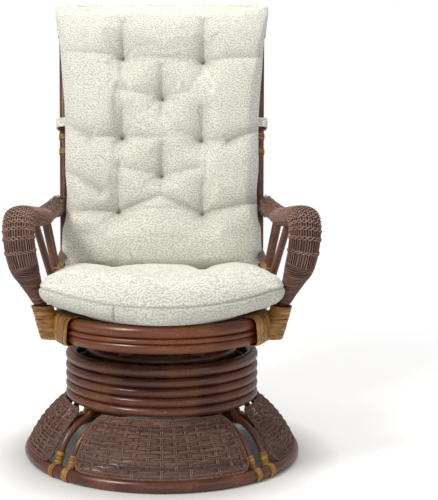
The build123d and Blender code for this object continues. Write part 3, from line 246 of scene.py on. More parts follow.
def sawn_timber(name, dark, light):
    """Sawn hardwood with a dark stain: open pores in long streaks along the bars."""
    material, tree, place = blank(name)
    laid = add(tree, "ShaderNodeMapping", {"Vector": place, "Scale": (6.0, 6.0, 60.0)}).outputs[0]
    grain = add(tree, "ShaderNodeTexNoise", {"Vector": laid, "Scale": 6.0, "Detail": 6.0,
                                             "Distortion": 1.2}).outputs[0]
    pores = add(tree, "ShaderNodeMapRange", {0: grain, 1: 0.3, 2: 0.7}).outputs[0]
    tinted = add(tree, "ShaderNodeMix", {0: pores, 6: shade(dark), 7: shade(light)}, data_type="RGBA").outputs[2]
    bump = add(tree, "ShaderNodeBump", {"Height": grain, "Distance": 0.0004, "Strength": 0.5}).outputs[0]
    shader = add(tree, "ShaderNodeBsdfPrincipled", {"Base Color": tinted, "Roughness": 0.62, "Normal": bump})
    add(tree, "ShaderNodeOutputMaterial", {"Surface": shader.outputs[0]})
    return material


def make_materials():
    """All the finishes, by the record's slot names."""
    tints = bpy.context.scene.rocker_colours
    weave = bpy.context.scene.rocker_cushions
    return {
        "stained_rattan": lacquered_pole("stained_rattan", tints.pole, tints.pole_light),
        "front_rail_rattan": lacquered_pole("front_rail_rattan", tints.rail, linear("#8f4f22")[:3], 0.3),
        "woven_wicker": woven_strand("woven_wicker", tints.wicker, tints.wicker_light, 0.58),
        "arm_wicker": woven_strand("arm_wicker", tints.arm, linear("#a47f72")[:3], 0.55),
        "dark_cane": woven_strand("dark_cane", tints.winding, linear("#7e5a4c")[:3], 0.45),
        "golden_cane": woven_strand("golden_cane", tints.cane_dark, tints.cane, 0.36, 500.0),
        "hardwood": sawn_timber("hardwood", linear("#2a170f")[:3], linear("#4a2c1c")[:3]),
        "black_steel": hard_metal("black_steel", linear("#1b1b1d")[:3], 0.38, 0.0, 0.3),
        "bright_steel": hard_metal("bright_steel", linear("#b9bbbc")[:3], 0.28),
        "spring_steel": hard_metal("spring_steel", linear("#6c6d70")[:3], 0.32, 1.0, 0.25),
        "nylon": hard_metal("nylon", linear("#dedcd2")[:3], 0.4, 0.0, 0.06),
        "rubber": hard_metal("rubber", linear("#1a1a1a")[:3], 0.75, 0.0, 0.2),
        "cushion_cloth": printed_cloth("cushion_cloth", tints.cloth, tints.line, weave.squiggle),
    }


FINISH = {}


def finish_of(name):
    """The material of a slot; all of them are made at the first call."""
    if not FINISH:
        FINISH.update(make_materials())
    return FINISH[name]


# ---------------------------------------------------------------- mesh helpers
def unit(vectors):
    """Vectors divided by their own length."""
    return vectors / np.maximum(np.linalg.norm(vectors, axis=-1, keepdims=True), 1e-9)


def new_piece(name, points, quads, finish, body, replaced=(), uv=None, tone=None):
    """A mesh object from whole arrays, that rides on a body and takes its finish from a slot."""
    mesh = bpy.data.meshes.new(name)
    mesh.from_pydata(points.reshape(-1, 3).tolist(), [], quads.reshape(-1, 4).tolist())
    mesh.polygons.foreach_set("use_smooth", np.ones(len(mesh.polygons), bool))
    if uv is not None:
        corners = np.empty(len(mesh.loops), int)
        mesh.loops.foreach_get("vertex_index", corners)
        mesh.uv_layers.new(name="run").data.foreach_set("uv", uv.reshape(-1, 2)[corners].ravel())
    if tone is not None:
        mesh.attributes.new("tone", "FLOAT", "POINT").data.foreach_set("value", tone.ravel())
    piece = bpy.data.objects.new(name, mesh)
    bpy.context.scene.collection.objects.link(piece)
    mesh.materials.append(finish_of(finish))
    return settle(piece, body, replaced)


def settle(piece, body, replaced=()):
    """Sets the body a piece rides on and hides the CAD nodes that it stands for."""
    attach(piece, body)
    if replaced:
        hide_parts(*replaced)
    return piece


def grid_quads(rows, columns, wrap_rows, wrap_columns, start=0):
    """Quads of a grid of points, which may close on itself either way."""
    row = np.arange(rows if wrap_rows else rows - 1)
    column = np.arange(columns if wrap_columns else columns - 1)
    a, b = np.meshgrid(row, column, indexing="ij")
    c, d = (a + 1) % rows, (b + 1) % columns
    return start + np.stack([a * columns + b, a * columns + d, c * columns + d, c * columns + b], -1).reshape(-1, 4)


class Strands:
    """Collects strands: round or flat sections carried along paths, all as whole arrays."""

    def __init__(self, seed):
        self.points, self.quads, self.uv, self.tone = [], [], [], []
        self.count = 0
        self.draw = np.random.default_rng(seed)

    def add(self, paths, outs, width, thickness, sides=8, closed=False, square=1.0, tone=None):
        """A superellipse is carried along each path, its thickness along 'out' and its width across.
        paths and outs are (strands, points, 3); square under 1 flattens the section's faces."""
        paths = np.asarray(paths, float)
        strands, steps = paths.shape[:2]
        if closed:
            ways = np.roll(paths, -1, 1) - np.roll(paths, 1, 1)
        else:
            ways = np.gradient(paths, axis=1)
        ways = unit(ways)
        across = unit(np.cross(outs, ways))
        out = np.cross(ways, across)
        angle = 2 * pi * (np.arange(sides) + 0.5) / sides
        flat = np.sign(np.cos(angle)) * np.abs(np.cos(angle)) ** square
        high = np.sign(np.sin(angle)) * np.abs(np.sin(angle)) ** square
        width = np.broadcast_to(width, (strands, steps))[..., None, None]
        thickness = np.broadcast_to(thickness, (strands, steps))[..., None, None]
        section = across[:, :, None] * flat[:, None] * width / 2 + out[:, :, None] * high[:, None] * thickness / 2
        self.points.append((paths[:, :, None] + section).reshape(-1, 3))
        lengths = np.linalg.norm(np.diff(paths, axis=1, prepend=paths[:, :1]), axis=2).cumsum(1)
        lengths = lengths + self.draw.uniform(0, 5, (strands, 1))
        around = np.arange(sides) / sides * 0.01
        uv = np.stack(np.broadcast_arrays(lengths[..., None], around), -1)
        self.uv.append(uv.reshape(-1, 2))
        if tone is None:
            tone = self.draw.uniform(0, 1, strands)
        self.tone.append(np.broadcast_to(np.asarray(tone)[:, None], (strands, steps * sides)).ravel())
        one = grid_quads(steps, sides, closed, True)
        if not closed:
            pairs = np.arange(sides // 2 - 1)
            cap = np.stack([pairs, pairs + 1, sides - 2 - pairs, sides - 1 - pairs], -1)
            one = np.concatenate([one, cap[:, ::-1], cap + (steps - 1) * sides])
        shift = np.arange(strands)[:, None, None] * steps * sides
        self.quads.append((one[None] + shift + self.count).reshape(-1, 4))
        self.count += strands * steps * sides

    def piece(self, name, finish, body, replaced=()):
        """All the strands collected so far as one piece."""
        return new_piece(name, np.concatenate(self.points), np.concatenate(self.quads)[:, ::-1], finish, body,
                         replaced, np.concatenate(self.uv), np.concatenate(self.tone))


def bent_route(points, bends, step=0.002):
    """Straight runs joined by arcs that touch both runs, as points a step apart."""
    points = [np.array(point, float) for point in points]
    pieces, last = [], points[0]
    for before, corner, after, radius in zip(points, points[1:], points[2:], bends):
        come, go = unit(before - corner), unit(after - corner)
        half = np.arccos(np.clip(come @ go, -1, 1)) / 2
        cut = radius / np.tan(half)
        start, end = corner + come * cut, corner + go * cut
        middle = corner + unit(come + go) * radius / np.sin(half)
        pieces.append(np.linspace(last, start, max(2, int(np.linalg.norm(start - last) / step)))[:-1])
        turn = np.linspace(0, pi - 2 * half, max(4, int(radius * (pi - 2 * half) / step)))[:, None]
        first = start - middle
        side = unit((end - middle) - first * ((end - middle) @ first) / (first @ first)) * radius
        pieces.append((middle + first * np.cos(turn) + side * np.sin(turn))[:-1])
        last = end
    pieces.append(np.linspace(last, points[-1], max(2, int(np.linalg.norm(points[-1] - last) / step))))
    return np.concatenate(pieces)


def along_route(route, shares):
    """Points and directions at shares of a route's length."""
    reach = np.concatenate([[0], np.linalg.norm(np.diff(route, axis=0), axis=1).cumsum()])
    at = np.asarray(shares) * reach[-1]
    points = np.stack([np.interp(at, reach, route[:, axis]) for axis in range(3)], -1)
    ways = np.gradient(route, reach, axis=0)
    ways = np.stack([np.interp(at, reach, ways[:, axis]) for axis in range(3)], -1)
    return points, unit(ways), reach[-1]


def smoothed(values, rounds):
    """Running mean with weights 1, 2, 1 that keeps both ends."""
    for _ in range(rounds):
        values = np.concatenate([values[:1], (values[:-2] + 2 * values[1:-1] + values[2:]) / 4, values[-1:]])
    return values


def mirrored(array):
    """Points on the other side of the chair: X turned about."""
    return array * np.array([-1.0, 1.0, 1.0])


def spun(array, turn):
    """Points turned about the swivel axis."""
    c, s = cos(turn), sin(turn)
    return array @ np.array([[c, s, 0], [-s, c, 0], [0, 0, 1.0]])


def low_noise(points, seed, scale):
    """Smooth wandering value at each point: a few sine waves in drawn directions, added up."""
    draw = np.random.default_rng(seed)
    total = 0
    for _ in range(6):
        way = unit(draw.normal(size=3)) * scale * draw.uniform(0.6, 1.5)
        total = total + np.sin(points @ way * 2 * pi + draw.uniform(0, 2 * pi))
    return total / 6


# ---------------------------------------------------------------- stage
CAMERA_PLACE = (0.0, -2.39, 0.74)
CAMERA_PITCH = radians(6.4)
FOCAL_PIXELS = 1040.0           # focal length in pixels of the 500 pixel tall photograph
PHOTO_WIDTH, PHOTO_HEIGHT = 438.0, 500.0
AXIS_PIXEL = 161.8              # pixel column of the chair's middle
SENSOR = 36.0


class ROCKER_OT_stage(bpy.types.Operator):
    """Camera at the photograph's place, a white floor that keeps the shadow, and soft studio light"""
    bl_idname = "rocker.stage"
    bl_label = "Stage"

    def execute(self, context):
        scene = context.scene
        camera = bpy.data.cameras.new("camera")
        camera.sensor_fit = "VERTICAL"
        camera.sensor_height = SENSOR
        camera.lens = FOCAL_PIXELS / PHOTO_HEIGHT * SENSOR
        camera.shift_x = (PHOTO_WIDTH / 2 - AXIS_PIXEL) / PHOTO_HEIGHT
        seen = bpy.data.objects.new("camera", camera)
        seen.location = CAMERA_PLACE
        seen.rotation_euler = (pi / 2 - CAMERA_PITCH, 0, 0)
        scene.collection.objects.link(seen)
        scene.camera = seen
        scene.view_settings.view_transform = "Standard"

        world = bpy.data.worlds.new("studio")
        world.use_nodes = True
        tree = world.node_tree
        tree.nodes.clear()
        path = add(tree, "ShaderNodeLightPath")
        near = add(tree, "ShaderNodeMath", {0: path.outputs["Is Camera Ray"],
                                            1: path.outputs["Is Transmission Ray"]}, operation="MAXIMUM")
        soft = add(tree, "ShaderNodeBackground", {"Color": linear("#f4f6fa"), "Strength": 0.42})
        white = add(tree, "ShaderNodeBackground", {"Color": (1, 1, 1, 1), "Strength": 1.0})
        both = add(tree, "ShaderNodeMixShader", {0: near.outputs[0], 1: soft.outputs[0], 2: white.outputs[0]})
        add(tree, "ShaderNodeOutputWorld", {"Surface": both.outputs[0]})
        scene.world = world

        reach = 14.0
        corners = np.array([[-reach, -reach, 0], [reach, -reach, 0], [reach, reach, 0], [-reach, reach, 0]])
        mesh = bpy.data.meshes.new("floor")
        mesh.from_pydata(corners.tolist(), [], [(0, 1, 2, 3)])
        floor = bpy.data.objects.new("floor", mesh)
        scene.collection.objects.link(floor)
        material = bpy.data.materials.new("white_floor")
        material.use_nodes = True
        tree = material.node_tree
        tree.nodes.clear()
        path = add(tree, "ShaderNodeLightPath")
        place = add(tree, "ShaderNodeTexCoord").outputs["Object"]
        away = add(tree, "ShaderNodeVectorMath", {0: place}, operation="LENGTH").outputs["Value"]
        matt = add(tree, "ShaderNodeBsdfDiffuse", {"Color": (0.8, 0.8, 0.8, 1)})
        # painted light on the floor for the camera: it glows outside the base and not under it, which paints the
        # floor darker inside the base as shade
        glow_outside_base = add(tree, "ShaderNodeMapRange", {0: away, 1: 0.31, 2: 0.42, 3: 0.0, 4: 0.34}).outputs[0]
        glow = add(tree, "ShaderNodeEmission", {"Color": (1, 1, 1, 1), "Strength": glow_outside_base})
        lit = add(tree, "ShaderNodeAddShader", {0: matt.outputs[0], 1: glow.outputs[0]})
        white = add(tree, "ShaderNodeEmission", {"Color": (1, 1, 1, 1), "Strength": 1.0})
        far = add(tree, "ShaderNodeMapRange", {0: away, 1: 0.9, 2: 1.8}).outputs[0]
        faded = add(tree, "ShaderNodeMixShader", {0: far, 1: lit.outputs[0], 2: white.outputs[0]})
        both = add(tree, "ShaderNodeMixShader", {0: path.outputs["Is Camera Ray"], 1: matt.outputs[0],
                                                 2: faded.outputs[0]})
        add(tree, "ShaderNodeOutputMaterial", {"Surface": both.outputs[0]})
        mesh.materials.append(material)

        lamps = (
            ("key", (-2.1, -1.9, 3.0), (0, 0, 0.55), 1.0, 92.0),
            ("fill", (2.4, -2.6, 1.5), (0, 0, 0.5), 1.8, 10.0),
            ("top", (0.4, 0.6, 2.9), (0, 0, 0.5), 1.5, 36.0),
            ("low", (0.0, -3.4, 0.7), (0, 0, 0.3), 1.6, 7.0),
        )
        for name, place, target, side, power in lamps:
            lamp = bpy.data.lights.new(name, "AREA")
            lamp.size = side
            lamp.energy = power
            lamp.color = linear("#fffaf2")[:3]
            shining = bpy.data.objects.new(name, lamp)
            shining.location = place
            shining.rotation_euler = (Vector(target) - Vector(place)).to_track_quat("-Z", "Y").to_euler()
            scene.collection.objects.link(shining)
        return {"FINISHED"}


class ROCKER_OT_frame(bpy.types.Operator):
    """Stained, painted and plated finishes on the poles and the mechanism of the CAD frame"""
    bl_idname = "rocker.frame"
    bl_label = "Poles and mechanism"

    def execute(self, context):
        rows = frame["record"]["subparts"]
        for row in rows:
            node = frame["nodes"][row["node"]]
            node.data.materials.clear()
            node.data.materials.append(finish_of(row["material_slot"]))
        return {"FINISHED"}


# ---------------------------------------------------------------- woven skirt
SKIRT_FOOT = (313.0, 27.0)      # radius and height of a panel's outer face at its foot
SKIRT_HEAD = (224.0, 134.5)
SKIRT_BULGE = 10.0
SKIRT_HALF = radians(38.2)
SKIRT_CORNER = 26.0
SKIRT_DEPTH = 3.4               # the weave's middle lies this far under the outer face
WEAVE_FLOAT = 2.5               # how far a strand swings in and out


def skirt_surface(angle, rise, out):
    """Point of the skirt at an angle and a share of its height, pushed out square to its face:
    a parabola over the chord from foot to head, turned about the swivel axis."""
    foot, head = np.array(SKIRT_FOOT) * MM, np.array(SKIRT_HEAD) * MM
    chord = head - foot
    outward = np.array([chord[1], -chord[0]]) / np.linalg.norm(chord)
    swell = 4 * SKIRT_BULGE * MM * rise * (1 - rise)
    radius = foot[0] + chord[0] * rise + outward[0] * (swell + out)
    height = foot[1] + chord[1] * rise + outward[1] * (swell + out)
    return np.stack([radius * np.cos(angle), radius * np.sin(angle), height], -1)


def skirt_normal(angle, rise):
    """Way out of the skirt: from its face to the face one millimetre further out."""
    low = skirt_surface(angle, rise, 0 * rise)
    return unit(skirt_surface(angle, rise, 0 * rise + MM) - low)


def skirt_limit(rise, slope, border):
    """Half angle that the weave reaches at a height: rounded corners, less the border."""
    radius = (SKIRT_FOOT[0] + (SKIRT_HEAD[0] - SKIRT_FOOT[0]) * rise) * MM
    edge = np.minimum(rise, 1 - rise) * slope
    corner = SKIRT_CORNER * MM
    short = np.clip(corner - edge, 0, corner)
    inset = corner - np.sqrt(np.maximum(corner ** 2 - short ** 2, 0))
    return SKIRT_HALF - (inset + border) / radius


def skirt_rim(inset, steps):
    """Rounded outline of a panel as angles and shares of its height, a distance inside its edge."""
    slope = sqrt((SKIRT_FOOT[0] - SKIRT_HEAD[0]) ** 2 + (SKIRT_HEAD[1] - SKIRT_FOOT[1]) ** 2) * MM
    corner = SKIRT_CORNER * MM - inset
    low, high = inset, slope - inset
    turn = np.linspace(0, pi / 2, 14)
    quarter = [(np.sin(turn), np.cos(turn)), (np.cos(turn), -np.sin(turn)), (-np.sin(turn), -np.cos(turn)),
               (-np.cos(turn), np.sin(turn))]
    middle_radius = (SKIRT_FOOT[0] + SKIRT_HEAD[0]) / 2 * MM
    wide = SKIRT_HALF * middle_radius - inset
    centres = [(wide - corner, high - corner), (wide - corner, low + corner), (-wide + corner, low + corner),
               (-wide + corner, high - corner)]
    outline = np.concatenate([np.stack([cx + corner * x, cy + corner * y], -1)
                              for (cx, cy), (x, y) in zip(centres, quarter)])
    outline = np.concatenate([outline, outline[:1]])
    reach = np.concatenate([[0], np.linalg.norm(np.diff(outline, axis=0), axis=1).cumsum()])
    at = np.linspace(0, reach[-1], steps, endpoint=False)
    across = np.interp(at, reach, outline[:, 0])
    rise = np.interp(at, reach, outline[:, 1]) / slope
    radius = (SKIRT_FOOT[0] + (SKIRT_HEAD[0] - SKIRT_FOOT[0]) * rise) * MM
    edge = across / middle_radius
    # the sides run towards the swivel axis, so the border keeps its width in millimetres
    grow = (SKIRT_HALF - inset / radius) / (SKIRT_HALF - inset / middle_radius)
    return edge * grow, rise


def rope(strands, centre, out, thickness, pitch, closed, count=3, sides=6):
    """Strands laid round a common line: each winds about it with the given pitch."""
    if closed:
        ways = unit(np.roll(centre, -1, 0) - np.roll(centre, 1, 0))
    else:
        ways = unit(np.gradient(centre, axis=0))
    across = unit(np.cross(out, ways))
    up = np.cross(ways, across)
    reach = np.linalg.norm(np.diff(centre, axis=0, prepend=centre[:1]), axis=1).cumsum()
    turns = max(1, round(reach[-1] / abs(pitch))) * np.sign(pitch)
    phase = reach / (reach[-1] + (reach[1] if closed else 0)) * turns * 2 * pi
    paths, outs = [], []
    for number in range(count):
        angle = (phase + 2 * pi * number / count)[:, None]
        lean = across * np.cos(angle) + up * np.sin(angle)
        paths.append(centre + lean * thickness * 0.5)
        outs.append(lean)
    strands.add(np.array(paths), np.array(outs), thickness * 1.1, thickness * 0.85, sides, closed)


def woven_panel(strands, sizes):
    """Double stakes up the panel, rows of three fine strands in and out of them, plaited rims."""
    slope = sqrt((SKIRT_FOOT[0] - SKIRT_HEAD[0]) ** 2 + (SKIRT_HEAD[1] - SKIRT_FOOT[1]) ** 2) * MM
    stakes = round(2 * SKIRT_HALF * SKIRT_FOOT[0] * MM / sizes.stake_pitch)
    border, foot_border, head_border = 6.5 * MM, 13.0 * MM, 8.0 * MM
    rows = round((slope - foot_border - head_border) / sizes.row_pitch)
    row_rise = (foot_border + (np.arange(rows) + 0.5) * (slope - foot_border - head_border) / rows) / slope
    pitch = 2 * SKIRT_HALF / stakes
    stake_angle = (np.arange(stakes) + 0.5) * pitch - SKIRT_HALF

    # rows: over one stake, under the next, the next row the other way about
    steps = 15 * stakes
    sweep = np.linspace(-1, 1, steps)
    for strand in range(3):
        rise = row_rise + (strand - 1) * sizes.strand * 1.02 / slope
        limit = skirt_limit(rise, slope, border)
        angle = limit[:, None] * sweep
        place = (angle + SKIRT_HALF) / pitch - 0.5
        wave = np.cos(pi * place) * np.where(np.arange(rows) % 2, 1, -1)[:, None]
        # long floats on the outside and a short dip behind a stake
        dip = np.where(wave < 0, -np.abs(wave) ** 3.0 * 1.9, np.abs(wave) ** 1.5 * 0.55)
        out = dip * WEAVE_FLOAT * MM - SKIRT_DEPTH * MM + 1.3 * MM
        squeeze = 1 - 0.22 * np.clip(-wave, 0, 1) ** 4
        level = row_rise[:, None] + (rise - row_rise)[:, None] * squeeze
        wander = low_noise(skirt_surface(angle, level, out), 7 + strand, 16) * 0.35 * MM / slope
        paths = skirt_surface(angle, level + wander, out)
        strands.add(paths, skirt_normal(angle, level), sizes.strand, sizes.strand * 0.72, 6)

    # double stakes, pressed in where a row floats over them
    steps = 8 * rows
    share = np.linspace(0, 1, steps)
    for side in (-1, 1):
        rise = (4 * MM + share * (slope - 8 * MM)) / slope
        place = (rise * slope - foot_border) / ((slope - foot_border - head_border) / rows) - 0.5
        pressed = np.cos(pi * place)[None] * np.where(np.arange(stakes) % 2, 1, -1)[:, None]
        out = pressed * 1.1 * MM - SKIRT_DEPTH * MM + 0.4 * MM
        radius = skirt_surface(np.zeros(steps), rise, out[0])[:, 0]
        angle = stake_angle[:, None] + side * 2.0 * MM / radius[None]
        rises = np.broadcast_to(rise, angle.shape)
        reach = skirt_limit(rises, slope, 3 * MM)
        angle = np.clip(angle, -reach, reach)
        strands.add(skirt_surface(angle, rises, out), skirt_normal(angle, rises), 3.4 * MM, 2.8 * MM, 6,
                    tone=np.full(stakes, 0.95))

    # plaited rims, and twined rows along the foot and the head
    for ring, twist in ((0, 13.0), (1, -11.0)):
        inset = (3.0 + 4.4 * ring) * MM
        angle, rise = skirt_rim(inset, 460)
        centre = skirt_surface(angle, rise, 0 * rise - 3.0 * MM)
        rope(strands, centre, skirt_normal(angle, rise), sizes.rope * (1.0 - 0.12 * ring), twist * MM, True)
    for level, twist in ((foot_border - 3.4 * MM, 12.0), (slope - head_border + 1.2 * MM, -12.0)):
        rise = np.full(260, level / slope)
        limit = skirt_limit(rise, slope, border)
        angle = limit * np.linspace(-1, 1, 260)
        centre = skirt_surface(angle, rise, 0 * rise - 2.6 * MM)
        rope(strands, centre, skirt_normal(angle, rise), sizes.rope * 0.85, twist * MM, False)


class ROCKER_OT_skirt(bpy.types.Operator):
    """Four woven panels between the leg poles, with plaited rims"""
    bl_idname = "rocker.skirt"
    bl_label = "Woven skirt"

    def execute(self, context):
        for number, side in enumerate(("right", "rear", "left", "front")):
            strands = Strands(40 + number)
            woven_panel(strands, context.scene.rocker_wicker)
            strands.points = [spun(points, number * pi / 2) for points in strands.points]
            name = "skirt_panel_" + side
            strands.piece("woven_" + name, "woven_wicker", "base", (name,))
        return {"FINISHED"}


# ---------------------------------------------------------------- arms
POST_FOOT = np.array([243.0, 197.0, 295.0])
POST_SLOPE = np.array([13.0 / 757.0, tan(radians(13.5)), 1.0])
ARM_POINTS = [(237, -163, 298), (262, -190, 385), (294, -222, 470), (305, -227, 571), (280, -10, 549)]
ARM_END = (263.0, 557.0)
ARM_BENDS = [60, 150, 50, 200]
# share of the route, width and depth of the arm
ARM_SHAPE = np.array([
    (0.0, 28, 28), (0.123, 28, 28), (0.162, 36, 31), (0.20, 51, 35), (0.225, 60, 37), (0.25, 66, 38),
    (0.30, 68, 40), (0.36, 67, 41), (0.44, 68, 42), (0.54, 68, 42), (0.60, 67, 42), (0.68, 62, 38),
    (0.78, 56, 37), (0.88, 47, 44), (1.0, 40, 58),
])
TAPER_SHARES = (0.123, 0.247)
WEAVE_SHARES = (0.238, 0.985)
ROWS_END = 0.66                 # behind this share the arm is braided lengthwise only
ARM_STRANDS = 36
STRAND_POINTS = 180             # points along a lengthwise strand
CROSS_STRAND = (3.3, 2.2)       # width and thickness of a cross strand
TWIST_START, TWIST_LONG = 0.70, 0.28    # shares of the route over which the weave begins to wind
TWIST = 1.3                     # how far it winds by the post, in radians
SHADE_SHEET_DEPTH = 4.6              # the dark sheet inside the arm, painted shade seen through the weave, lies this far under the face
SHADE_SHEET_GRID = (110, 36)


def post_at(height):
    """Centre of the back post on the +X side at a height."""
    return (POST_FOOT + POST_SLOPE * (height - POST_FOOT[2])) * MM


def arm_route():
    """Middle line of the arm, from its foot over the bend to the back post."""
    end = post_at(ARM_END[1])
    points = [np.array(point) * MM for point in ARM_POINTS]
    points.append(np.array([ARM_END[0] * MM, end[1], ARM_END[1] * MM]))
    return bent_route(points, [bend * MM for bend in ARM_BENDS])


def arm_surface(share, turn, out):
    """Point of the arm at a share of its route and an angle round it: an oval section square to the
    route, its width across the chair, pushed out by a distance."""
    share, turn, out = np.broadcast_arrays(share, turn, out)
    at = share.ravel()
    centre, way, _ = along_route(arm_route(), at)
    across = unit(np.array([1.0, 0, 0]) - way * way[:, :1])
    up = np.cross(way, across)
    wide = np.interp(at, ARM_SHAPE[:, 0], smoothed(ARM_SHAPE[:, 1], 1)) / 2 * MM
    deep = np.interp(at, ARM_SHAPE[:, 0], smoothed(ARM_SHAPE[:, 2], 1)) / 2 * MM
    around = turn.ravel()
    grow = out.ravel()
    x = (wide + grow) * np.cos(around)
    y = (deep + grow) * np.sin(around)
    return (centre + across * x[:, None] + up * y[:, None]).reshape(share.shape + (3,))


def arm_normal(share, turn):
    """Way out of the arm: from its face to the face one millimetre further out."""
    return unit(arm_surface(share, turn, MM) - arm_surface(share, turn, 0.0))


def arm_rows(sizes, length):
    """Shares of the cross rows: wide slots above the taper, closer rows over the bend."""
    start = WEAVE_SHARES[0]
    rows, at = [], start + 35 * MM / length
    while at < ROWS_END:
        rows.append(at)
        wide = np.interp((at - start) * length / MM, [35, 63, 78, 90, 110], [1.8, 1.0, 0.77, 0.71, 0.58])
        at += sizes.arm_row * wide / length
    return np.array(rows)


def woven_arm(strands, sizes):
    """Lengthwise strands that dip at the cross rows. A row is two strands that wind round the arm as
    closed rings and swing in and out by a cosine, so that they twine over and under the others."""
    length = along_route(arm_route(), np.array([0.0]))[2]
    count = ARM_STRANDS
    rows = arm_rows(sizes, length)
    share = np.linspace(*WEAVE_SHARES, STRAND_POINTS)[None]
    turn = (np.arange(count) / count * 2 * pi)[:, None]
    nearest = np.abs(share[..., None] - rows).min(-1) * length
    knot = np.exp(-(nearest / (3.2 * MM)) ** 2)
    # behind the bend the strands wind slowly round the arm, as the weave twists towards the post
    late = np.clip((share - TWIST_START) / TWIST_LONG, 0, 1)
    swirl = TWIST * late ** 1.5
    wobble = 0.11 * np.sin(share * 105 + turn * 5) * late
    out = -1.7 * MM - 0.5 * MM * knot + 1.5 * MM * late * np.sin(share * 150 + turn * 13)
    around = turn + swirl + wobble
    paths = arm_surface(share + 0 * turn, around, out)
    width = sizes.arm_strand * (1 - 0.34 * late)
    tone = strands.draw.uniform(0.2, 0.9, count)
    strands.add(paths, arm_normal(share + 0 * turn, around), width + 0 * turn, sizes.arm_strand * 0.8, 6, tone=tone)
    # cross rows
    points = count * 6
    circle = np.linspace(0, 2 * pi, points, endpoint=False)[None]
    for side in (-1, 1):
        weave = side * np.cos(circle * count / 2)
        at = rows[:, None] + side * 0.9 * MM / length * np.sin(circle * count / 2) + side * 1.7 * MM / length
        late = np.clip((at - TWIST_START) / TWIST_LONG, 0, 1)
        out = -0.8 * MM + 1.3 * MM * weave + 0 * at
        around = circle + TWIST * late ** 1.5
        strands.add(arm_surface(at, around, out), arm_normal(at, around), CROSS_STRAND[0] * MM, CROSS_STRAND[1] * MM,
                    5, True,
                    tone=strands.draw.uniform(0.8, 1.3, len(rows)))


def wound_taper(strands, sizes):
    """Fine strands wound side by side across the taper: closed rings that lean by a cosine, less
    towards its ends."""
    length = along_route(arm_route(), np.array([0.0]))[2]
    start, end = TAPER_SHARES
    circle = np.linspace(0, 2 * pi, 56, endpoint=False)[None]
    count = int((end - start) * length / sizes.winding * 1.04)
    at = np.linspace(start + 0.002, end - 0.002, count)[:, None]
    lean = 0.014 * np.cos(circle - 0.6) * np.clip((end - at) / 0.03, 0, 1)
    lean = lean * np.clip((at - start) / 0.03, 0, 1)
    drift = 0.0016 * np.sin(at * 260 + circle * 2)
    place = at + lean + drift
    out = -0.9 * MM + 0.35 * MM * np.sin(at * 900 + circle) + 0 * circle
    strands.add(arm_surface(place, circle, out), arm_normal(place, circle), sizes.winding * 1.12,
                sizes.winding * 0.8, 6, True)


class ROCKER_OT_arms(bpy.types.Operator):
    """Woven arms with their dark wound tapers"""
    bl_idname = "rocker.arms"
    bl_label = "Arms"

    def execute(self, context):
        sizes = context.scene.rocker_wicker
        tapers = Strands(61)
        for number, side in enumerate(("right", "left")):
            weave = Strands(70 + number)
            woven_arm(weave, sizes)
            wound_taper(tapers, sizes)
            # a dark sheet under the weave and taper, in the dark end of the winding colour: painted shade that shows
            # through the slots
            shade_sheet_share = np.linspace(TAPER_SHARES[0] + 0.004, WEAVE_SHARES[1], SHADE_SHEET_GRID[0])[:, None]
            around = np.linspace(0, 2 * pi, SHADE_SHEET_GRID[1], endpoint=False)[None]
            shade_sheet = arm_surface(shade_sheet_share, around, -SHADE_SHEET_DEPTH * MM + 0 * around * shade_sheet_share)
            shade_sheet[[0, -1]] = shade_sheet[[0, -1]].mean(1, keepdims=True)
            quads = grid_quads(*SHADE_SHEET_GRID, False, True)
            if side == "left":
                weave.points = [mirrored(points) for points in weave.points]
                weave.quads = [quad[:, ::-1] for quad in weave.quads]
                tapers.points[-1] = mirrored(tapers.points[-1])
                tapers.quads[-1] = tapers.quads[-1][:, ::-1]
                shade_sheet, quads = mirrored(shade_sheet), quads[:, ::-1]
            name = "arm_weave_" + side
            weave.piece("woven_" + name, "arm_wicker", "seat", (name,))
            new_piece("arm_shade_sheet_" + side, shade_sheet, quads[:, ::-1], "dark_cane", "seat",
                      uv=np.zeros((shade_sheet.size // 3, 2)), tone=np.zeros(shade_sheet.size // 3))
        tapers.piece("wound_arm_tapers", "dark_cane", "seat", ("arm_tapers",))
        return {"FINISHED"}


# ---------------------------------------------------------------- cane bindings
def wound_pole(strands, start, end, diameter, strip, build=2.0 * MM):
    """Turns of cane side by side round a straight pole: rings of a flat oval section."""
    start, end = np.asarray(start, float), np.asarray(end, float)
    length = np.linalg.norm(end - start)
    way = unit(end - start)
    side = unit(np.cross(way, [0.31, 0.87, 0.23]))
    up = np.cross(way, side)
    turns = max(2, round(length / strip))
    circle = np.linspace(0, 2 * pi, 28, endpoint=False)
    out = side * np.cos(circle)[:, None] + up * np.sin(circle)[:, None]
    paths = []
    for turn in range(turns):
        centre = start + way * (turn + 0.5) * length / turns
        lean = way * (np.cos(circle + turn)[:, None]) * strands.draw.uniform(-0.5, 0.5) * MM
        radius = diameter / 2 + build / 2 + strands.draw.uniform(-0.15, 0.25) * MM
        paths.append(centre + out * radius + lean)
    outs = np.broadcast_to(out, (turns,) + out.shape)
    strands.add(np.array(paths), outs, length / turns * 1.04, build, 8, True, 0.6)


LEG_SPREAD = 22.0
LEG_FOOT = 302.0
LEG_ELBOW = (270.0, 95.0)
LEG_BINDING = (0.13, 0.46)
RING = (306.0, 13.0, 28.0)      # floor ring: radius, height of its centre, thickness
RING_BINDING = 16.0
FOOT_RAIL = ((254.0, -180.0, 384.0), 446.0, 22.0)
FAN_BINDINGS = ((-52.0, -6.0), (20.0, 80.0))
POST_BINDINGS = (693.0, 731.0)


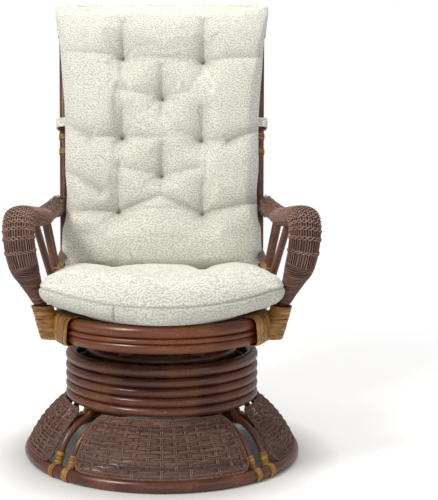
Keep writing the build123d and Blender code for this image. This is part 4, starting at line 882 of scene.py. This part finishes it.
class ROCKER_OT_bindings(bpy.types.Operator):
    """Turns of cane round the legs, the floor ring, the posts and the feet of the arm poles"""
    bl_idname = "rocker.bindings"
    bl_label = "Cane bindings"

    def execute(self, context):
        strip = context.scene.rocker_wicker.cane
        legs, ring = Strands(11), Strands(12)
        for corner in range(4):
            turn = pi / 4 + corner * pi / 2
            for offset in (-LEG_SPREAD, LEG_SPREAD):
                foot = np.array([sqrt(LEG_FOOT ** 2 - offset ** 2), offset, RING[1]]) * MM
                elbow = np.array([LEG_ELBOW[0], offset, LEG_ELBOW[1]]) * MM
                ends = [spun(foot + (elbow - foot) * share, turn) for share in LEG_BINDING]
                wound_pole(legs, ends[0], ends[1], 15 * MM, strip)
                middle = offset / RING[0] + turn
                half = RING_BINDING / RING[0] / 2
                circle = np.linspace(0, 2 * pi, 30, endpoint=False)
                paths, outs = [], []
                for share in (-0.75, -0.25, 0.25, 0.75):
                    angle = middle + share * half
                    out = np.stack([np.cos(circle) * cos(angle), np.cos(circle) * sin(angle), np.sin(circle)], -1)
                    hub = np.array([RING[0] * cos(angle), RING[0] * sin(angle), RING[1]]) * MM
                    path = hub + out * (RING[2] / 2 + 1.0) * MM
                    path[:, 2] = np.maximum(path[:, 2], 1.2 * MM)
                    paths.append(path)
                    outs.append(out)
                ring.add(np.array(paths), np.array(outs), RING_BINDING / 4 * 1.06 * MM, 2 * MM, 8, True, 0.6)
        legs.piece("cane_leg_bindings", "golden_cane", "base", ("leg_bindings",))
        ring.piece("cane_ring_bindings", "golden_cane", "base", ("base_ring_bindings",))

        posts, feet = Strands(13), Strands(14)
        start = np.array(FOOT_RAIL[0]) * MM
        end = post_at(FOOT_RAIL[1])
        for flip in (1, -1):
            side = np.array([flip, 1, 1])
            for middle in POST_BINDINGS:
                wound_pole(posts, post_at(middle - 7) * side, post_at(middle + 7) * side, 24 * MM, strip * 0.8)
            for low, high in FAN_BINDINGS:
                ends = [start + (end - start) * ((y * MM - start[1]) / (end[1] - start[1])) for y in (low, high)]
                wound_pole(feet, ends[0] * side, ends[1] * side, FOOT_RAIL[2] * MM, strip)
        posts.piece("cane_post_bindings", "golden_cane", "seat", ("post_bindings",))
        feet.piece("cane_arm_foot_bindings", "golden_cane", "seat", ("arm_foot_bindings",))
        return {"FINISHED"}


# ---------------------------------------------------------------- corner wraps
BOW = (222.0, -108.0)           # radius and centre of the front rails' bend
WRAP_LEVELS = (297.0, 373.0)
WRAP_FOOT = (237.0, -163.0, 52.0, 40.0)     # X, Y, width and depth of the wrap's foot
WRAP_HEAD = (256.5, -188.3, 46.0, 44.0)
SLEEVE = (80.0, 54.5)           # its ends, in degrees round the bend from the front
SLEEVE_SECTION = (64.0, 46.0)
SLEEVE_HEIGHT = 326.0


def corner_wrap(strands):
    """Broad strips wound level round the leg, and a sleeve of strips round both front rails."""
    circle = np.linspace(0, 2 * pi, 44, endpoint=False)
    low, high = WRAP_LEVELS
    foot, head = np.array(WRAP_FOOT), np.array(WRAP_HEAD)
    strips = 8
    level = (np.arange(strips)[:, None] + 0.5) / strips
    sag = strands.draw.uniform(-1.2, 1.2, (strips, 1)) * np.cos(circle + 0.9)
    sag = sag + strands.draw.uniform(-0.7, 0.7, (strips, 1)) * np.sin(2 * circle)
    place = foot + (head - foot) * (level + sag / (high - low))[..., None]
    lift = strands.draw.uniform(-0.3, 0.5, (strips, 1))
    x = place[..., 0] + np.cos(circle) * (place[..., 2] / 2 - 1.0 + lift)
    y = place[..., 1] + np.sin(circle) * (place[..., 3] / 2 - 1.0 + lift)
    paths = np.stack([x, y, low + (high - low) * level + sag], -1) * MM
    tilt = (foot - head)[:2] / (high - low)
    lean = np.cos(circle) * tilt[0] + np.sin(circle) * tilt[1]
    outs = unit(np.stack([np.cos(circle), np.sin(circle), lean], -1))
    outs = np.broadcast_to(outs, paths.shape)
    strands.add(paths, outs, (high - low) / strips * 1.16 * MM, 2.6 * MM, 8, True, 0.6)

    tall, deep = SLEEVE_SECTION
    turn = np.linspace(0, 2 * pi, 48, endpoint=False)
    across = np.sign(np.cos(turn)) * np.abs(np.cos(turn)) ** 0.45
    upright = np.sign(np.sin(turn)) * np.abs(np.sin(turn)) ** 0.45
    strips = 9
    share = (np.arange(strips)[:, None] + 0.5) / strips
    slant = strands.draw.uniform(-0.8, 0.8, (strips, 1)) + 1.2
    angle = np.radians(SLEEVE[0] + (SLEEVE[1] - SLEEVE[0]) * share - slant * upright * 0.8)
    grow = strands.draw.uniform(-0.3, 0.5, (strips, 1))
    reach = BOW[0] + 2.0 + across * (deep / 2 - 2.0 + grow)
    height = SLEEVE_HEIGHT + upright * (tall / 2 - 1.0 + grow)
    paths = np.stack([reach * np.sin(angle), BOW[1] - reach * np.cos(angle), height], -1) * MM
    outs = unit(np.stack([np.cos(turn) * np.sin(angle), -np.cos(turn) * np.cos(angle),
                          np.sin(turn) + 0 * angle], -1))
    wide = radians(SLEEVE[0] - SLEEVE[1]) * BOW[0] / strips
    strands.add(paths, outs, wide * 1.2 * MM, 2.6 * MM, 8, True, 0.6)


class ROCKER_OT_corner_wraps(bpy.types.Operator):
    """Golden cane wraps where the arms meet the front rails"""
    bl_idname = "rocker.corner_wraps"
    bl_label = "Corner wraps"

    def execute(self, context):
        strands = Strands(21)
        corner_wrap(strands)
        first = len(strands.points)
        corner_wrap(strands)
        for number in range(first, len(strands.points)):
            strands.points[number] = mirrored(strands.points[number])
            strands.quads[number] = strands.quads[number][:, ::-1]
        strands.piece("cane_corner_wraps", "golden_cane", "seat", ("corner_wraps",))
        return {"FINISHED"}


# ---------------------------------------------------------------- springs
SPRING_PLACES = [(x, y) for y in (-66.0, 66.0) for x in (-36.0, 36.0)]
SPRING_ENDS = (182.9, 254.0)
SPRING_RADIUS = 13.0
SPRING_WIRE = 4.0
SPRING_TURNS = 5


class ROCKER_OT_springs(bpy.types.Operator):
    """Coil springs: a wire carried along a helix"""
    bl_idname = "rocker.springs"
    bl_label = "Springs"

    def execute(self, context):
        strands = Strands(31)
        turn = np.linspace(0, 2 * pi * SPRING_TURNS, 44 * SPRING_TURNS)
        low, high = SPRING_ENDS[0] + SPRING_WIRE / 2 + 0.3, SPRING_ENDS[1] - SPRING_WIRE / 2 - 0.3
        paths, outs = [], []
        for x, y in SPRING_PLACES:
            out = np.stack([np.cos(turn), np.sin(turn), 0 * turn], -1)
            path = out * SPRING_RADIUS + np.array([x, y, 0.0])
            path[:, 2] = low + (high - low) * turn / turn[-1]
            paths.append(path * MM)
            outs.append(out)
        strands.add(np.array(paths), np.array(outs), SPRING_WIRE * MM, SPRING_WIRE * MM, 10)
        springs = strands.piece("coil_springs", "spring_steel", "swivel", ("springs_front", "springs_rear"))
        springs.parent = None
        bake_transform(springs)
        return {"FINISHED"}


# ---------------------------------------------------------------- cushions
CLOTH_FRAMES = 20


def stuffed(name, points, quads, held, voxel, pressure, cap):
    """Cloth pushed out by its stuffing: remeshed, blown up with some points held, its move capped."""
    mesh = bpy.data.meshes.new(name)
    mesh.from_pydata(points.reshape(-1, 3).tolist(), [], quads.tolist())
    piece = bpy.data.objects.new(name, mesh)
    scene = bpy.context.scene
    scene.collection.objects.link(piece)
    bpy.context.view_layer.objects.active = piece
    remesh = piece.modifiers.new("remesh", "REMESH")
    remesh.mode = "VOXEL"
    remesh.voxel_size = voxel
    bake_modifiers(piece)
    before = coordinates(piece)
    group = piece.vertex_groups.new(name="held")
    weight = held(before)
    for level in (1.0, 0.6):
        chosen = np.nonzero(weight == level)[0]
        group.add([int(i) for i in chosen], level, "REPLACE")
    cloth = piece.modifiers.new("cloth", "CLOTH")
    cloth.settings.use_pressure = True
    cloth.settings.uniform_pressure_force = pressure
    cloth.settings.vertex_group_mass = "held"
    cloth.settings.mass = 0.3
    cloth.settings.tension_stiffness = 12
    cloth.settings.compression_stiffness = 6
    cloth.settings.shear_stiffness = 5
    cloth.settings.bending_stiffness = 0.3
    cloth.settings.quality = 6
    cloth.settings.effector_weights.gravity = 0
    cloth.collision_settings.use_self_collision = False
    for number in range(1, CLOTH_FRAMES + 1):
        scene.frame_set(number)
    bake_modifiers(piece)
    after = coordinates(piece)
    move = after - before
    length = np.linalg.norm(move, axis=1, keepdims=True)
    after = before + move * np.minimum(1, cap / np.maximum(length, 1e-9))
    store(piece, after)
    scene.frame_set(1)
    return piece


def bake_modifiers(piece):
    """The mesh as its modifiers leave it takes the place of the mesh."""
    shown = piece.evaluated_get(bpy.context.evaluated_depsgraph_get())
    mesh = bpy.data.meshes.new_from_object(shown)
    piece.modifiers.clear()
    old, piece.data = piece.data, mesh
    mesh.name = piece.name
    bpy.data.meshes.remove(old)


def coordinates(piece):
    """The mesh points of a piece as one array."""
    flat = np.empty(len(piece.data.vertices) * 3)
    piece.data.vertices.foreach_get("co", flat)
    return flat.reshape(-1, 3)


def store(piece, points):
    """Puts an array of points back into a piece."""
    piece.data.vertices.foreach_set("co", points.ravel())
    piece.data.update()


def normals(piece):
    """The point normals of a piece as one array."""
    flat = np.empty(len(piece.data.vertices) * 3)
    piece.data.vertices.foreach_get("normal", flat)
    return flat.reshape(-1, 3)


def subdivided(piece, levels):
    """Smooths a piece by subdivision."""
    smooth = piece.modifiers.new("smooth", "SUBSURF")
    smooth.levels = smooth.render_levels = levels
    bake_modifiers(piece)


def sphere_grid(rows, columns):
    """Parameters of a closed surface: from one pole to the other, and round it."""
    fall = np.linspace(0, 1, rows)[:, None]
    turn = np.linspace(0, 2 * pi, columns, endpoint=False)[None]
    return fall + 0 * turn, turn + 0 * fall


def segment_gap(x, y, start, end):
    """Distance in a plane from points to a straight stretch, and the share along it."""
    start, end = np.array(start, float), np.array(end, float)
    run = end - start
    share = np.clip(((x - start[0]) * run[0] + (y - start[1]) * run[1]) / (run @ run), 0, 1)
    return np.hypot(x - start[0] - share * run[0], y - start[1] - share * run[1]), share


# plan outline of the seat cushion on the +X side, from the front round to the back
SEAT_OUTLINE = np.array([(0, -345), (60, -340), (128, -322), (180, -298), (222, -272), (245, -254), (256, -238),
                         (256, -223), (251, -206), (248, -170), (243, -120), (236, -60), (233, 0), (235, 60),
                         (236, 116), (224, 147), (192, 160), (100, 160), (0, 160)], float)
SEAT_TUCK = 100.0               # how far the front corners draw in under the cushion
SEAT_CENTRE = np.array([0.0, -95.0])
SEAT_BOTTOM = 355.8
SEAT_SEAM = 394.5
SEAT_LIFT = 24.5                # the seam climbs by this towards the sides
# Y and height of the crown, which falls towards the back
SEAT_CROWN = ((-150.0, 457.0), (-20.0, 448.0), (80.0, 437.0), (160.0, 426.0))
SEAT_EDGE = 37.0                # width of the rounded edge of the crown
SEAT_SAG = 8.0                  # how much lower the crown's middle is than its sides
SEAT_VALLEYS = [(98.0, 17.0, 15.0), (-115.0, 8.0, 17.0)]     # X, depth and half width
SEAT_SLACK = 9.0                # what the stuffing adds to the height and takes from the width
SEAT_TUFTS = [(-115, 0), (98, 0), (-13, -174), (8, -318)]
SEAT_CREASES = [((8, -318), (-40, -262), 0.55), ((8, -318), (62, -268), 0.5), ((-13, -174), (20, -240), 0.35),
                ((-13, -174), (-70, -200), 0.3), ((-13, -174), (98, 0), 0.35), ((-13, -174), (-115, 0), 0.3)]
SEAT_JOIN = -97.0               # X of the upright seam in the boxed front
# shares of the way from the crown's middle to the underside's: the crown, the side, the underside
CROWN_END, SIDE_LONG = 0.55, 0.17
SIDE_END, UNDER_LONG = 0.72, 0.28


def seat_rim(turn, tuck):
    """Plan outline as a distance from the cushion's centre at an angle round it; the tuck, from 0 to 1,
    draws the front corners in. The corners are rounded by a running mean over the angle."""
    rims = []
    angles = np.linspace(-pi, pi, 721)
    for drawn in (0, SEAT_TUCK):
        half = SEAT_OUTLINE.copy()
        ahead = np.clip((-120 - half[:, 1]) / 85, 0, 1)
        half[:, 0] = half[:, 0] * (1 - drawn * ahead / 247)
        half = half - SEAT_CENTRE
        whole = np.concatenate([half, (half * [-1, 1])[::-1][1:-1]])
        angle = np.unwrap(np.arctan2(whole[:, 1], whole[:, 0]))
        reach = np.hypot(whole[:, 0], whole[:, 1])
        even = np.interp((angles - angle[0]) % (2 * pi) + angle[0], np.append(angle, angle[0] + 2 * pi),
                         np.append(reach, reach[0]))[:-1]
        kernel = np.hanning(15) / np.hanning(15).sum()
        even = np.convolve(np.concatenate([even[-7:], even, even[:7]]), kernel, "valid")
        rims.append(np.interp((turn + pi) % (2 * pi) - pi, angles, np.append(even, even[0])))
    return rims[0] + (rims[1] - rims[0]) * tuck


def seat_seam(x):
    """Height of the piping at a distance from the middle: a power curve that climbs to the sides."""
    return SEAT_SEAM + SEAT_LIFT * np.clip(np.abs(x) / 235, 0, 1) ** 2.1


def seat_pad(slack):
    """The cushion as a closed surface: from the middle of the crown, over the boxed edge, whose front
    corners draw in downwards, to the middle of its flat underside. Slack is what the stuffing adds."""
    fall, turn = sphere_grid(110, 260)
    top = np.clip(fall / CROWN_END, 0, 1)
    side = np.clip((fall - CROWN_END) / SIDE_LONG, 0, 1)
    under = np.clip((fall - SIDE_END) / UNDER_LONG, 0, 1)
    tuck = np.interp(1 - side, [0, 0.16, 0.29, 0.48, 0.75, 1], [1.0, 0.80, 0.51, 0.17, 0.02, 0])
    rim = seat_rim(turn, tuck) + slack * 0.3
    reach = np.where(fall < CROWN_END, top, np.where(fall < SIDE_END, 1.0, 1 - under))
    swell = 1 + 0.010 * np.sin(pi * side) - 0.02 * side ** 3
    x = SEAT_CENTRE[0] + rim * reach * swell * np.cos(turn)
    y = SEAT_CENTRE[1] + rim * reach * swell * np.sin(turn)
    inset = np.clip((1 - top) * rim / SEAT_EDGE, 0, 1)
    seam = seat_seam(x)
    ceiling = np.interp(y, *zip(*SEAT_CROWN)) - SEAT_SAG * np.clip(1 - np.abs(x) / 165, 0, 1)
    for middle, drop, wide in SEAT_VALLEYS:
        ceiling = ceiling - drop * np.exp(-((x - middle) / wide) ** 2) * np.clip((y + 190) / 80, 0, 1)
    crown = seam + (ceiling - seam - slack) * (1 - (1 - inset) ** 3.2)
    z = np.where(fall < CROWN_END, crown, seam + (SEAT_BOTTOM - seam) * side)
    for tuft_x, tuft_y in SEAT_TUFTS:
        gap = np.hypot(x - tuft_x, y - tuft_y)
        z = z - np.where(fall < 0.5, 7 * np.exp(-(gap / 14) ** 2), 0)
    return np.stack([x, y, z], -1) * MM


class ROCKER_OT_seat_cushion(bpy.types.Operator):
    """Boxed seat cushion with tufts, blown up as cloth and creased"""
    bl_idname = "rocker.seat_cushion"
    bl_label = "Seat cushion"

    def execute(self, context):
        sizes = context.scene.rocker_cushions
        points = seat_pad(SEAT_SLACK)
        quads = grid_quads(*points.shape[:2], False, True)[:, ::-1]

        def held(at):
            """How firmly each point is held: the underside and the tufts fully, the piping partly."""
            x, y, z = at.T / MM
            weight = np.where(z < SEAT_BOTTOM + 5, 1.0, 0.0)
            weight = np.maximum(weight, np.where(np.abs(z - seat_seam(x)) < 4, 0.6, 0))
            for tuft in SEAT_TUFTS:
                gap = np.hypot(x - tuft[0], y - tuft[1])
                weight = np.where((gap < 9) & (z > SEAT_SEAM), 1.0, weight)
            return weight

        piece = stuffed("seat_cushion_cloth", points, quads, held, sizes.voxel, sizes.pressure, sizes.puff)
        subdivided(piece, 1)
        at = coordinates(piece)
        out = normals(piece)
        x, y, z = at.T / MM
        top = (z > seat_seam(x) + 4) & (out[:, 2] > 0.1)
        depth = crease_depth(x, y, SEAT_CREASES, SEAT_TUFTS, 9.0, 1.0)
        depth = np.where(top, depth, 0) * sizes.crease * 0.6
        seam = 3.4 * MM * np.exp(-((z - seat_seam(x)) / 2.4) ** 2)
        join = np.exp(-((x - SEAT_JOIN) / 2.2) ** 2) * (y < -200) * (z < seat_seam(x)) * (z > SEAT_BOTTOM + 8)
        seam = np.maximum(seam, 3.0 * MM * join)
        wrinkle = low_noise(at, 3, 12) * 1.6 * MM * np.clip((z - SEAT_BOTTOM - 4) / 10, 0, 1)
        at = at - np.array([0, 0, 1.0]) * depth[:, None] + out * (wrinkle - seam)[:, None]
        at[:, 2] = np.maximum(at[:, 2], SEAT_BOTTOM * MM)
        store(piece, at)
        # painted shade: the boxed side below the seam is darkened a little, the seam's groove more, and the crease
        # valleys by their depth
        below_seam_shade = 0.18 * np.clip((seat_seam(x) - z) / 6, 0, 1)
        paint_shade(piece, below_seam_shade + 0.5 * seam / (3.4 * MM) + 0.3 * depth / sizes.crease)
        dress_cushion(piece, "seat_cushion")
        return {"FINISHED"}


def paint_shade(piece, share):
    """Keeps, for its material, how much painted shade darkens the cloth at each point: in folds, seams and below the
    seam.
    """
    piece.data.attributes.new("painted_shade", "FLOAT", "POINT").data.foreach_set("value", np.clip(share, 0, 1))


def dress_cushion(piece, node):
    """Gives a cushion its cloth and its body."""
    piece.data.polygons.foreach_set("use_smooth", np.ones(len(piece.data.polygons), bool))
    piece.data.materials.clear()
    piece.data.materials.append(finish_of("cushion_cloth"))
    settle(piece, "seat", (node,))


BACK_FOOT, BACK_TOP = 430.0, 1052.0
BACK_LONG = 640.0               # length of the pad along the posts
BACK_DEEP = 88.0
# height share, half width, thickness share of the back cushion
BACK_SHAPE = np.array([
    (-0.09, 214, 0.50), (-0.06, 234, 0.72), (0.01, 247, 0.92), (0.09, 249, 1.02), (0.14, 242, 1.04),
    (0.24, 240, 1.04), (0.32, 245, 1.02), (0.50, 247, 1.0), (0.60, 250, 0.98), (0.70, 256, 0.95), (0.80, 261, 0.90),
    (0.90, 266, 0.80), (0.96, 272, 0.66), (1.00, 272, 0.54), (1.03, 268, 0.40),
])
BACK_TUFTS = [(-99, 0.785), (106, 0.770), (2, 0.617), (-99, 0.460), (100, 0.448), (0, 0.305), (-107, 0.164),
              (102, 0.155)]
# creases: from, to, strength
BACK_CREASES = [
    ((-99, 0.785), (-97, 0.92), 1.0), ((106, 0.77), (107, 0.92), 1.0), ((-99, 0.785), (-100, 0.73), 0.7),
    ((106, 0.77), (101, 0.71), 0.7), ((-99, 0.785), (106, 0.77), 0.5), ((-99, 0.785), (-246, 0.80), 0.45),
    ((106, 0.77), (246, 0.78), 0.7), ((2, 0.617), (1, 0.74), 1.0), ((2, 0.617), (2, 0.54), 0.8),
    ((2, 0.617), (-105, 0.645), 0.5), ((2, 0.617), (60, 0.635), 0.5), ((-99, 0.46), (-98, 0.56), 0.9),
    ((-99, 0.46), (-100, 0.41), 0.6), ((100, 0.448), (104, 0.56), 1.0), ((-99, 0.46), (10, 0.45), 0.6),
    ((100, 0.448), (45, 0.475), 0.5), ((-99, 0.46), (-175, 0.455), 0.75), ((-175, 0.455), (-240, 0.51), 0.8),
    ((100, 0.448), (165, 0.435), 0.8), ((165, 0.435), (240, 0.485), 0.85), ((0, 0.305), (2, 0.42), 1.0),
    ((0, 0.305), (2, 0.25), 0.8), ((0, 0.305), (-102, 0.335), 0.6), ((0, 0.305), (92, 0.33), 0.6),
    ((-107, 0.164), (-108, 0.265), 0.9), ((-107, 0.164), (-109, 0.115), 0.6), ((102, 0.155), (102, 0.26), 1.0),
    ((-107, 0.164), (-2, 0.222), 0.95), ((102, 0.155), (-2, 0.222), 1.0), ((-107, 0.164), (-235, 0.160), 0.9),
    ((102, 0.155), (236, 0.198), 1.0), ((-148, 0.236), (-238, 0.325), 0.8), ((-182, 0.07), (-216, 0.085), 0.4),
]
RAKE = radians(13.5)
HOOD = 276.0                    # half width of the hood
BACK_SLACK = 9.0                # what the stuffing adds to the thickness and takes from the width


def back_place(x, rise, forward):
    """Point of the back: across it, as a share of its height, and a distance in front of the posts."""
    _, foot_y, foot_z = POST_FOOT
    height = BACK_FOOT + (BACK_TOP - BACK_FOOT) * rise - foot_z
    y = foot_y + height * tan(RAKE) - forward * cos(RAKE)
    z = foot_z + height + forward * sin(RAKE)
    return np.stack(np.broadcast_arrays(x, y, z), -1) * MM


def back_local(at):
    """The place of points on the back: across it, share of its height, distance in front of the posts."""
    x, y, z = at.T / MM
    _, foot_y, foot_z = POST_FOOT
    over_y, over_z = y - foot_y, z - foot_z
    up = over_y * sin(RAKE) + over_z * cos(RAKE)
    forward = over_z * sin(RAKE) - over_y * cos(RAKE)
    rise = (foot_z + up * cos(RAKE) - BACK_FOOT) / (BACK_TOP - BACK_FOOT)
    return x, rise, forward


def crease_depth(x, rise, creases, tufts, reach, long):
    """How deep the cloth is drawn in: sharp valleys along the creases that fade away from their tuft,
    and a round hollow at each tuft, the deepest of them all at each point."""
    depth = np.zeros(len(x))
    for start, end, strength in creases:
        gap, share = segment_gap(x, rise * long, (start[0], start[1] * long), (end[0], end[1] * long))
        valley = np.exp(-gap / reach)
        depth = np.maximum(depth, strength * valley * (1 - 0.5 * share))
    for tuft_x, tuft_rise in tufts:
        gap = np.hypot(x - tuft_x, (rise - tuft_rise) * long)
        depth = np.maximum(depth, 1.3 * np.exp(-gap / (0.8 * reach)) + 0.25 * np.exp(-(gap / (3 * reach)) ** 2))
    return depth


def back_pad(slack):
    """The pad as a closed surface round lines up the back: superellipse sections, flatter behind.
    Slack is what the stuffing adds."""
    rise, turn = sphere_grid(120, 220)
    low, high = BACK_SHAPE[0, 0], BACK_SHAPE[-1, 0]
    level = low + (high - low) * (0.3 * rise + 0.7 * (0.5 - 0.5 * np.cos(pi * rise)))
    half = np.interp(level, BACK_SHAPE[:, 0], BACK_SHAPE[:, 1]) + slack * 0.8
    deep = np.interp(level, BACK_SHAPE[:, 0], BACK_SHAPE[:, 2]) * BACK_DEEP - slack
    close = np.clip(np.minimum(rise, 1 - rise) / 0.035, 0, 1) ** 0.5
    c, s = np.cos(turn), np.sin(turn)
    x = np.sign(c) * np.abs(c) ** 0.55 * half * close
    face = np.sign(s) * np.abs(s) ** 0.75
    forward = 13.0 + deep * 0.5 * (1 + face * np.where(face < 0, 0.97, 1.0) * close)
    for tuft_x, tuft_rise in BACK_TUFTS:
        gap = np.hypot(x - tuft_x, (level - tuft_rise) * BACK_LONG)
        forward = forward - np.where(s > 0, 14 * np.exp(-(gap / 42) ** 2), 0)
    return back_place(x, level, forward)


class ROCKER_OT_back_cushion(bpy.types.Operator):
    """Tufted back cushion with its hood over the top of the frame"""
    bl_idname = "rocker.back_cushion"
    bl_label = "Back cushion"

    def execute(self, context):
        sizes = context.scene.rocker_cushions
        points = back_pad(BACK_SLACK)
        quads = grid_quads(*points.shape[:2], False, True)

        def held(at):
            """How firmly each point is held: the rear face and the tufts fully."""
            x, rise, forward = back_local(at)
            weight = np.where(forward < 18, 1.0, 0.0)
            for tuft_x, tuft_rise in BACK_TUFTS:
                gap = np.hypot(x - tuft_x, (rise - tuft_rise) * BACK_LONG)
                weight = np.where((gap < 9) & (forward > 20), 1.0, weight)
            return weight

        piece = stuffed("back_cushion_cloth", points, quads, held, sizes.voxel, sizes.pressure, sizes.puff)
        subdivided(piece, 1)
        at = coordinates(piece)
        out = normals(piece)
        x, rise, forward = back_local(at)
        front = np.array([0, -cos(RAKE), sin(RAKE)])
        facing = np.clip(out @ front * 3, 0, 1)
        depth = crease_depth(x, rise, BACK_CREASES, BACK_TUFTS, 14.0, BACK_LONG)
        wrinkle = low_noise(at, 5, 11) * 1.6 * MM * facing
        at = at - front * (depth * sizes.crease * facing)[:, None] + out * wrinkle[:, None]
        store(piece, at)
        # painted shade: the cloth is darkened in the crease valleys and tuft hollows by their depth
        paint_shade(piece, 0.30 * depth * facing)
        dress_cushion(piece, "back_cushion")
        hood_cloth()
        return {"FINISHED"}


def hood_cloth():
    """Flat pocket of cloth that slips over the frame's top: a closed band round the posts' heads,
    its section a thin superellipse, swollen a little between its ends."""
    rows, columns = 60, 160
    fall, turn = sphere_grid(rows, columns)
    level = 1.036 - 0.139 * fall
    c, s = np.cos(turn), np.sin(turn)
    close = np.clip(fall / 0.10, 0, 1) ** 0.45
    half = (HOOD - 6 * fall ** 2) * (0.97 + 0.03 * close)
    x = np.sign(c) * np.abs(c) ** 0.30 * half * (0.96 + 0.04 * close)
    deep = (21 + 1.5 * np.sin(x / 37)) * close
    y = np.sign(s) * np.abs(s) ** 0.5 * deep
    points = back_place(x, level, y)
    points[0] = points[0].mean(0)
    quads = grid_quads(rows, columns, False, True)
    piece = new_piece("back_cushion_hood", points, quads, "cushion_cloth", "seat")
    solid = piece.modifiers.new("cloth", "SOLIDIFY")
    solid.thickness = 2.2 * MM
    solid.offset = -1
    bake_modifiers(piece)


# ---------------------------------------------------------------- ties
TIE_HEIGHT = 759.0
TIE_WIDTH = 23.0
TIE_HALF = (17.5, 30.0)
TIE_FORWARD = 14.4


class ROCKER_OT_ties(bpy.types.Operator):
    """Cloth loops that hold the back cushion to the posts"""
    bl_idname = "rocker.ties"
    bl_label = "Ties"

    def execute(self, context):
        centre = post_at(TIE_HEIGHT)
        up = unit(POST_SLOPE)
        side = unit(np.array([1.0, 0, 0]) - up * up[0])
        back = np.cross(up, side)
        steps, rows = 96, 15
        turn = np.linspace(0, 2 * pi, steps, endpoint=False)[None]
        level = np.linspace(-1, 1, rows)[:, None]
        c, s = np.cos(turn), np.sin(turn)
        ruck = 0.9 * np.sin(level * 9 + 2 * np.sin(turn * 3)) * (1 - level ** 2)
        x = np.sign(c) * np.abs(c) ** 0.6 * (TIE_HALF[0] + ruck * 0.6)
        y = np.sign(s) * np.abs(s) ** 0.6 * (TIE_HALF[1] + ruck * 0.6) - TIE_FORWARD
        z = level * TIE_WIDTH / 2 + 1.2 * np.sin(turn * 2 + 0.7)
        loop = centre + (side * x[..., None] + back * y[..., None] + up * z[..., None]) * MM
        quads = grid_quads(rows, steps, False, True)
        points = np.concatenate([loop.reshape(-1, 3), mirrored(loop).reshape(-1, 3)])
        both = np.concatenate([quads, quads[:, ::-1] + loop.size // 3])
        piece = new_piece("cushion_tie_loops", points, both, "cushion_cloth", "seat", ("cushion_ties",))
        solid = piece.modifiers.new("cloth", "SOLIDIFY")
        solid.thickness = 2.4 * MM
        solid.offset = 0
        bake_modifiers(piece)
        return {"FINISHED"}


# ---------------------------------------------------------------- panel
OPERATORS = (ROCKER_OT_stage, ROCKER_OT_frame, ROCKER_OT_skirt, ROCKER_OT_arms, ROCKER_OT_bindings,
             ROCKER_OT_corner_wraps, ROCKER_OT_springs, ROCKER_OT_seat_cushion, ROCKER_OT_back_cushion,
             ROCKER_OT_ties)
GROUPS = {"rocker_wicker": RockerWicker, "rocker_cushions": RockerCushions, "rocker_colours": RockerColours}


class ROCKER_PT_panel(bpy.types.Panel):
    """Sizes, colours and makers of the swivel rocker"""
    bl_idname = "ROCKER_PT_panel"
    bl_label = "Rattan swivel rocker"
    bl_space_type = "VIEW_3D"
    bl_region_type = "UI"
    bl_category = "Rocker"

    def draw(self, context):
        for name, group in GROUPS.items():
            box = self.layout.box()
            for key in group.__annotations__:
                box.prop(getattr(context.scene, name), key)
        for operator in OPERATORS:
            self.layout.operator(operator.bl_idname)


def register():
    """Adds the sizes, colours, operators and panel."""
    for group in (*GROUPS.values(), *OPERATORS, ROCKER_PT_panel):
        bpy.utils.register_class(group)
    for name, group in GROUPS.items():
        setattr(bpy.types.Scene, name, bpy.props.PointerProperty(type=group))


def unregister():
    """Takes them away again."""
    for name in GROUPS:
        delattr(bpy.types.Scene, name)
    for group in (ROCKER_PT_panel, *reversed(OPERATORS), *reversed(GROUPS.values())):
        bpy.utils.unregister_class(group)


def main():
    register()
    for operator in OPERATORS:
        family, action = operator.bl_idname.split(".")
        getattr(getattr(bpy.ops, family), action)()


if __name__ == "__main__":
    main()
